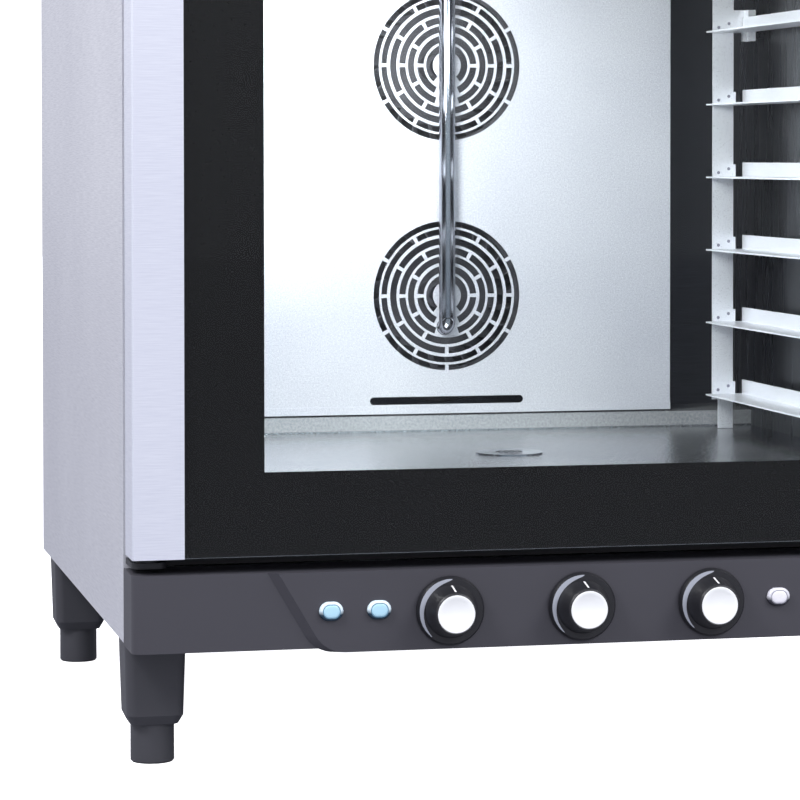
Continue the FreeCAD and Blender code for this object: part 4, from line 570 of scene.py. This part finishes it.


def oval(mesh, low, high, back):
    """A domed oval cap in bmesh: outline rings that shrink towards the front."""
    centre_x, centre_z = (low.x + high.x) / 2, (low.z + high.z) / 2
    half_height = (high.z - low.z) / 2
    straight = (high.x - low.x) / 2 - half_height
    rings = []
    for inset, advance in OVAL_RINGS:
        y = back + (low.y - back) * advance
        radius = half_height * (1 - inset)
        ring = []
        for step in range(OVAL_SIDES):
            angle = math.tau * (step + 0.5) / OVAL_SIDES
            run = straight * (1 - inset) * (1 if math.cos(angle) > 0 else -1)
            ring.append(mesh.verts.new((centre_x + run + radius * math.cos(angle), y,
                                        centre_z + radius * math.sin(angle))))
        rings.append(ring)
    for index, (ring, following) in zip(OVAL_BANDS, zip(rings, rings[1:])):
        for step in range(OVAL_SIDES):
            ahead = (step + 1) % OVAL_SIDES
            face = mesh.faces.new((ring[step], ring[ahead], following[ahead], following[step]))
            face.material_index = index
            face.smooth = True
    mesh.faces.new(rings[-1]).material_index = 2
    mesh.faces.new(rings[0]).material_index = 0


LENS_SEAT = 0.003           # how far the lenses start behind the fascia's front
lens_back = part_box("control_fascia")[0].y + LENS_SEAT
lamps = bmesh.new()
LENS_WIDTH = 0.021
for x in (lens_low.x + LENS_WIDTH / 2, lens_high.x - LENS_WIDTH / 2):
    oval(lamps, Vector((x - LENS_WIDTH / 2, lens_low.y, lens_low.z)),
         Vector((x + LENS_WIDTH / 2, lens_low.y, lens_high.z)), lens_back)
bmesh.ops.recalc_face_normals(lamps, faces=lamps.faces)
lamps = finished("lamp_lenses", lamps, lamp_bevel_painted_light, shaded_groove_blue, lens_blue)
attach(lamps, "cabinet")
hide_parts("pilot_lamps")
for which in ("light", "cooling"):
    low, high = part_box("push_button_" + which)
    key = bmesh.new()
    oval(key, low, high, lens_back)
    bmesh.ops.recalc_face_normals(key, faces=key.faces)
    key = finished("key_" + which, key, key_bevel_painted_light, shaded_groove_grey, key_white)
    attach(key, "button_" + which)
    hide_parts("push_button_" + which)
# Frosted glass: milky, with a broad dim highlight.
ceiling_lens = moulded("frosted_lamp_lens", "#e9ebea", 0.3, 2.0, 0.00002, 0.03)
give(ceiling_lens, "cavity_lamp")

# ---------------------------------------------------------------- door
# Two satin stainless strips hold the panes. The outer pane has a fired black border near its back; the
# handle is a satin bar on two posts.
# The strips are brighter than the side panels as painted light, and the handle bar is ground along its
# length.
strip_steel = ground_steel("satin_stainless_strip", "#f4f6ff", "#c0c3d3", (along, along, across), 0.4, 0.45)
bar_steel = ground_steel("ground_stainless_bar", "#d5d7df", "#a6a8b2", (across, across, along), 0.3, 0.95)
give(strip_steel, "door_stile_left", "door_stile_right")
give(bar_steel, "door_handle")


def clear_glass(name):
    """Float glass: seen through, with a mirror sheen that grows towards grazing angles."""
    material = bpy.data.materials.new(name)
    material.use_nodes = True
    tree = material.node_tree
    tree.nodes.clear()
    place = add(tree, "ShaderNodeTexCoord")
    ripple = add(tree, "ShaderNodeTexNoise", {"Vector": place.outputs["Object"], "Scale": 3.0})
    wave = add(tree, "ShaderNodeBump", {"Height": ripple.outputs[0], "Strength": 0.02, "Distance": 0.001})
    fresnel = add(tree, "ShaderNodeFresnel", {"IOR": 1.5})
    share = add(tree, "ShaderNodeMath", {0: fresnel.outputs[0], 1: 0.2}, operation="MULTIPLY")
    through = add(tree, "ShaderNodeBsdfTransparent", {"Color": linear("#fbfdfd")})
    mirror = add(tree, "ShaderNodeBsdfGlossy", {"Roughness": 0.02, "Normal": wave.outputs[0]})
    both = add(tree, "ShaderNodeMixShader", {0: share.outputs[0], 1: through.outputs[0],
                                             2: mirror.outputs[0]})
    add(tree, "ShaderNodeOutputMaterial", {"Surface": both.outputs[0]})
    return material


pane_glass = clear_glass("float_glass")
give(pane_glass, "door_inner_glass", "door_outer_glass")


def ring_plate(name, outer_low, outer_high, hole_low, hole_high, material):
    """A thin flat frame: a rectangular plate with a rectangular hole, both given by corner points.

    Its faces are made one by one, so that they come in the same order in every run."""
    xs = (outer_low.x, hole_low.x, hole_high.x, outer_high.x)
    zs = (outer_low.z, hole_low.z, hole_high.z, outer_high.z)
    cells = [(column, row) for column in range(3) for row in range(3) if (column, row) != (1, 1)]
    mesh = bmesh.new()
    front, back = ({(column, row): mesh.verts.new((xs[column], y, zs[row]))
                    for column in range(4) for row in range(4)} for y in (outer_low.y, outer_high.y))
    edges = []
    for column, row in cells:
        loop = [(column, row), (column + 1, row), (column + 1, row + 1), (column, row + 1)]
        mesh.faces.new([front[corner] for corner in loop])
        mesh.faces.new([back[corner] for corner in reversed(loop)])
        edges += zip(loop, loop[1:] + loop[:1])
    for start, end in edges:
        if (end, start) not in edges:
            mesh.faces.new((front[end], front[start], back[start], back[end]))
    bmesh.ops.recalc_face_normals(mesh, faces=mesh.faces)
    return finished(name, mesh, material)


pane_low, pane_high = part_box("door_outer_glass")
BORDER_SIDE = 0.0691
BORDER_FOOT = 0.0723
BORDER_HEAD = 0.0723
PRINT_THICKNESS = 0.0003
# Fired enamel: an even, deep black with a weak sheen, since it lies behind the glass.
print_black = moulded("fired_black_enamel", "#121212", 0.25, 3.0, 0.00001, 0.02)
print_black.node_tree.nodes["Principled BSDF"].inputs["Specular IOR Level"].default_value = 0.25
border = ring_plate(
    "printed_border",
    Vector((pane_low.x, pane_high.y - 2 * PRINT_THICKNESS, pane_low.z + PRINT_THICKNESS)),
    Vector((pane_high.x, pane_high.y - PRINT_THICKNESS, pane_high.z - PRINT_THICKNESS)),
    Vector((pane_low.x + BORDER_SIDE, 0, pane_low.z + BORDER_FOOT)),
    Vector((pane_high.x - BORDER_SIDE, 0, pane_high.z - BORDER_HEAD)), print_black)
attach(border, "door")

# ---------------------------------------------------------------- rear cover screws
# Zinc-plated pan-head screws with a cross recess, turned to different angles.
HEAD_RADIUS = 0.0045
HEAD_HEIGHT = 0.0025
RECESS_ARM = 0.0026
RECESS_WIDTH = 0.0006
RECESS_DEPTH = 0.0012
HEAD_SIDES = 72
HEAD_STEPS = 18
HEAD_SINK = 0.001           # how far the head reaches into the cover


def pan_head(name, material):
    """A pan head on the origin that faces +Y, with its cross recess."""
    mesh = bmesh.new()
    rings = [[mesh.verts.new((0, HEAD_HEIGHT - RECESS_DEPTH, 0))]]
    for step in range(1, HEAD_STEPS + 1):
        share = step / HEAD_STEPS
        ring = []
        for turn in range(HEAD_SIDES):
            angle = math.tau * turn / HEAD_SIDES
            x, z = HEAD_RADIUS * share * math.cos(angle), HEAD_RADIUS * share * math.sin(angle)
            y = HEAD_HEIGHT * (1 - 0.75 * share ** 5)
            narrow, wide = min(abs(x), abs(z)), max(abs(x), abs(z))
            if narrow < RECESS_WIDTH and wide < RECESS_ARM:
                y -= RECESS_DEPTH * (1 - wide / RECESS_ARM * 0.4)
            ring.append(mesh.verts.new((x, y, z)))
        rings.append(ring)
    rings.append([mesh.verts.new((HEAD_RADIUS * math.cos(math.tau * turn / HEAD_SIDES), -HEAD_SINK,
                                  HEAD_RADIUS * math.sin(math.tau * turn / HEAD_SIDES)))
                  for turn in range(HEAD_SIDES)])
    for ring, following in zip(rings, rings[1:]):
        for turn in range(HEAD_SIDES):
            ahead = (turn + 1) % HEAD_SIDES
            corners = [ring[turn % len(ring)], ring[ahead % len(ring)], following[ahead], following[turn]]
            mesh.faces.new(list(dict.fromkeys(corners)))
    mesh.faces.new(rings[-1])
    bmesh.ops.recalc_face_normals(mesh, faces=mesh.faces)
    return finished(name, mesh, material)


# Zinc plating: bright, with a fine even dullness.
plated = cast("zinc_plated_screw", "#c3c5c8", 0.8, 0.9, 0.00002)
screws_low, screws_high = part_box("panel_screws")
cover_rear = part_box("back_panel")[1].y
screw_xs = (screws_low.x + HEAD_RADIUS, screws_high.x - HEAD_RADIUS)
screw_zs = (screws_low.z + HEAD_RADIUS, (screws_low.z + screws_high.z) / 2, screws_high.z - HEAD_RADIUS)
screws = scattered("rear_screws", [(x, cover_rear, z) for x in screw_xs for z in screw_zs],
                   pan_head("pan_head", plated), plated, math.pi / 2, 7)
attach(screws, "cabinet")
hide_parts("panel_screws")

# ---------------------------------------------------------------- chamber light
# Two small soft lamps inside the chamber. The first lights the air guide and the floor, and the second
# brightens the right rack.
lamp_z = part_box("cavity_wrap")[1].z - 0.1     # 100 mm under the chamber's ceiling
soft_lamp("chamber_lamp", (-0.22, front_y + 0.12, lamp_z), (-0.17, front_y + 0.46, 0.40), 0.2, 5.2)
soft_lamp("rack_lamp", (0.02, front_y + 0.06, lamp_z), (0.3, front_y + 0.3, 0.45), 0.12, 0.75)
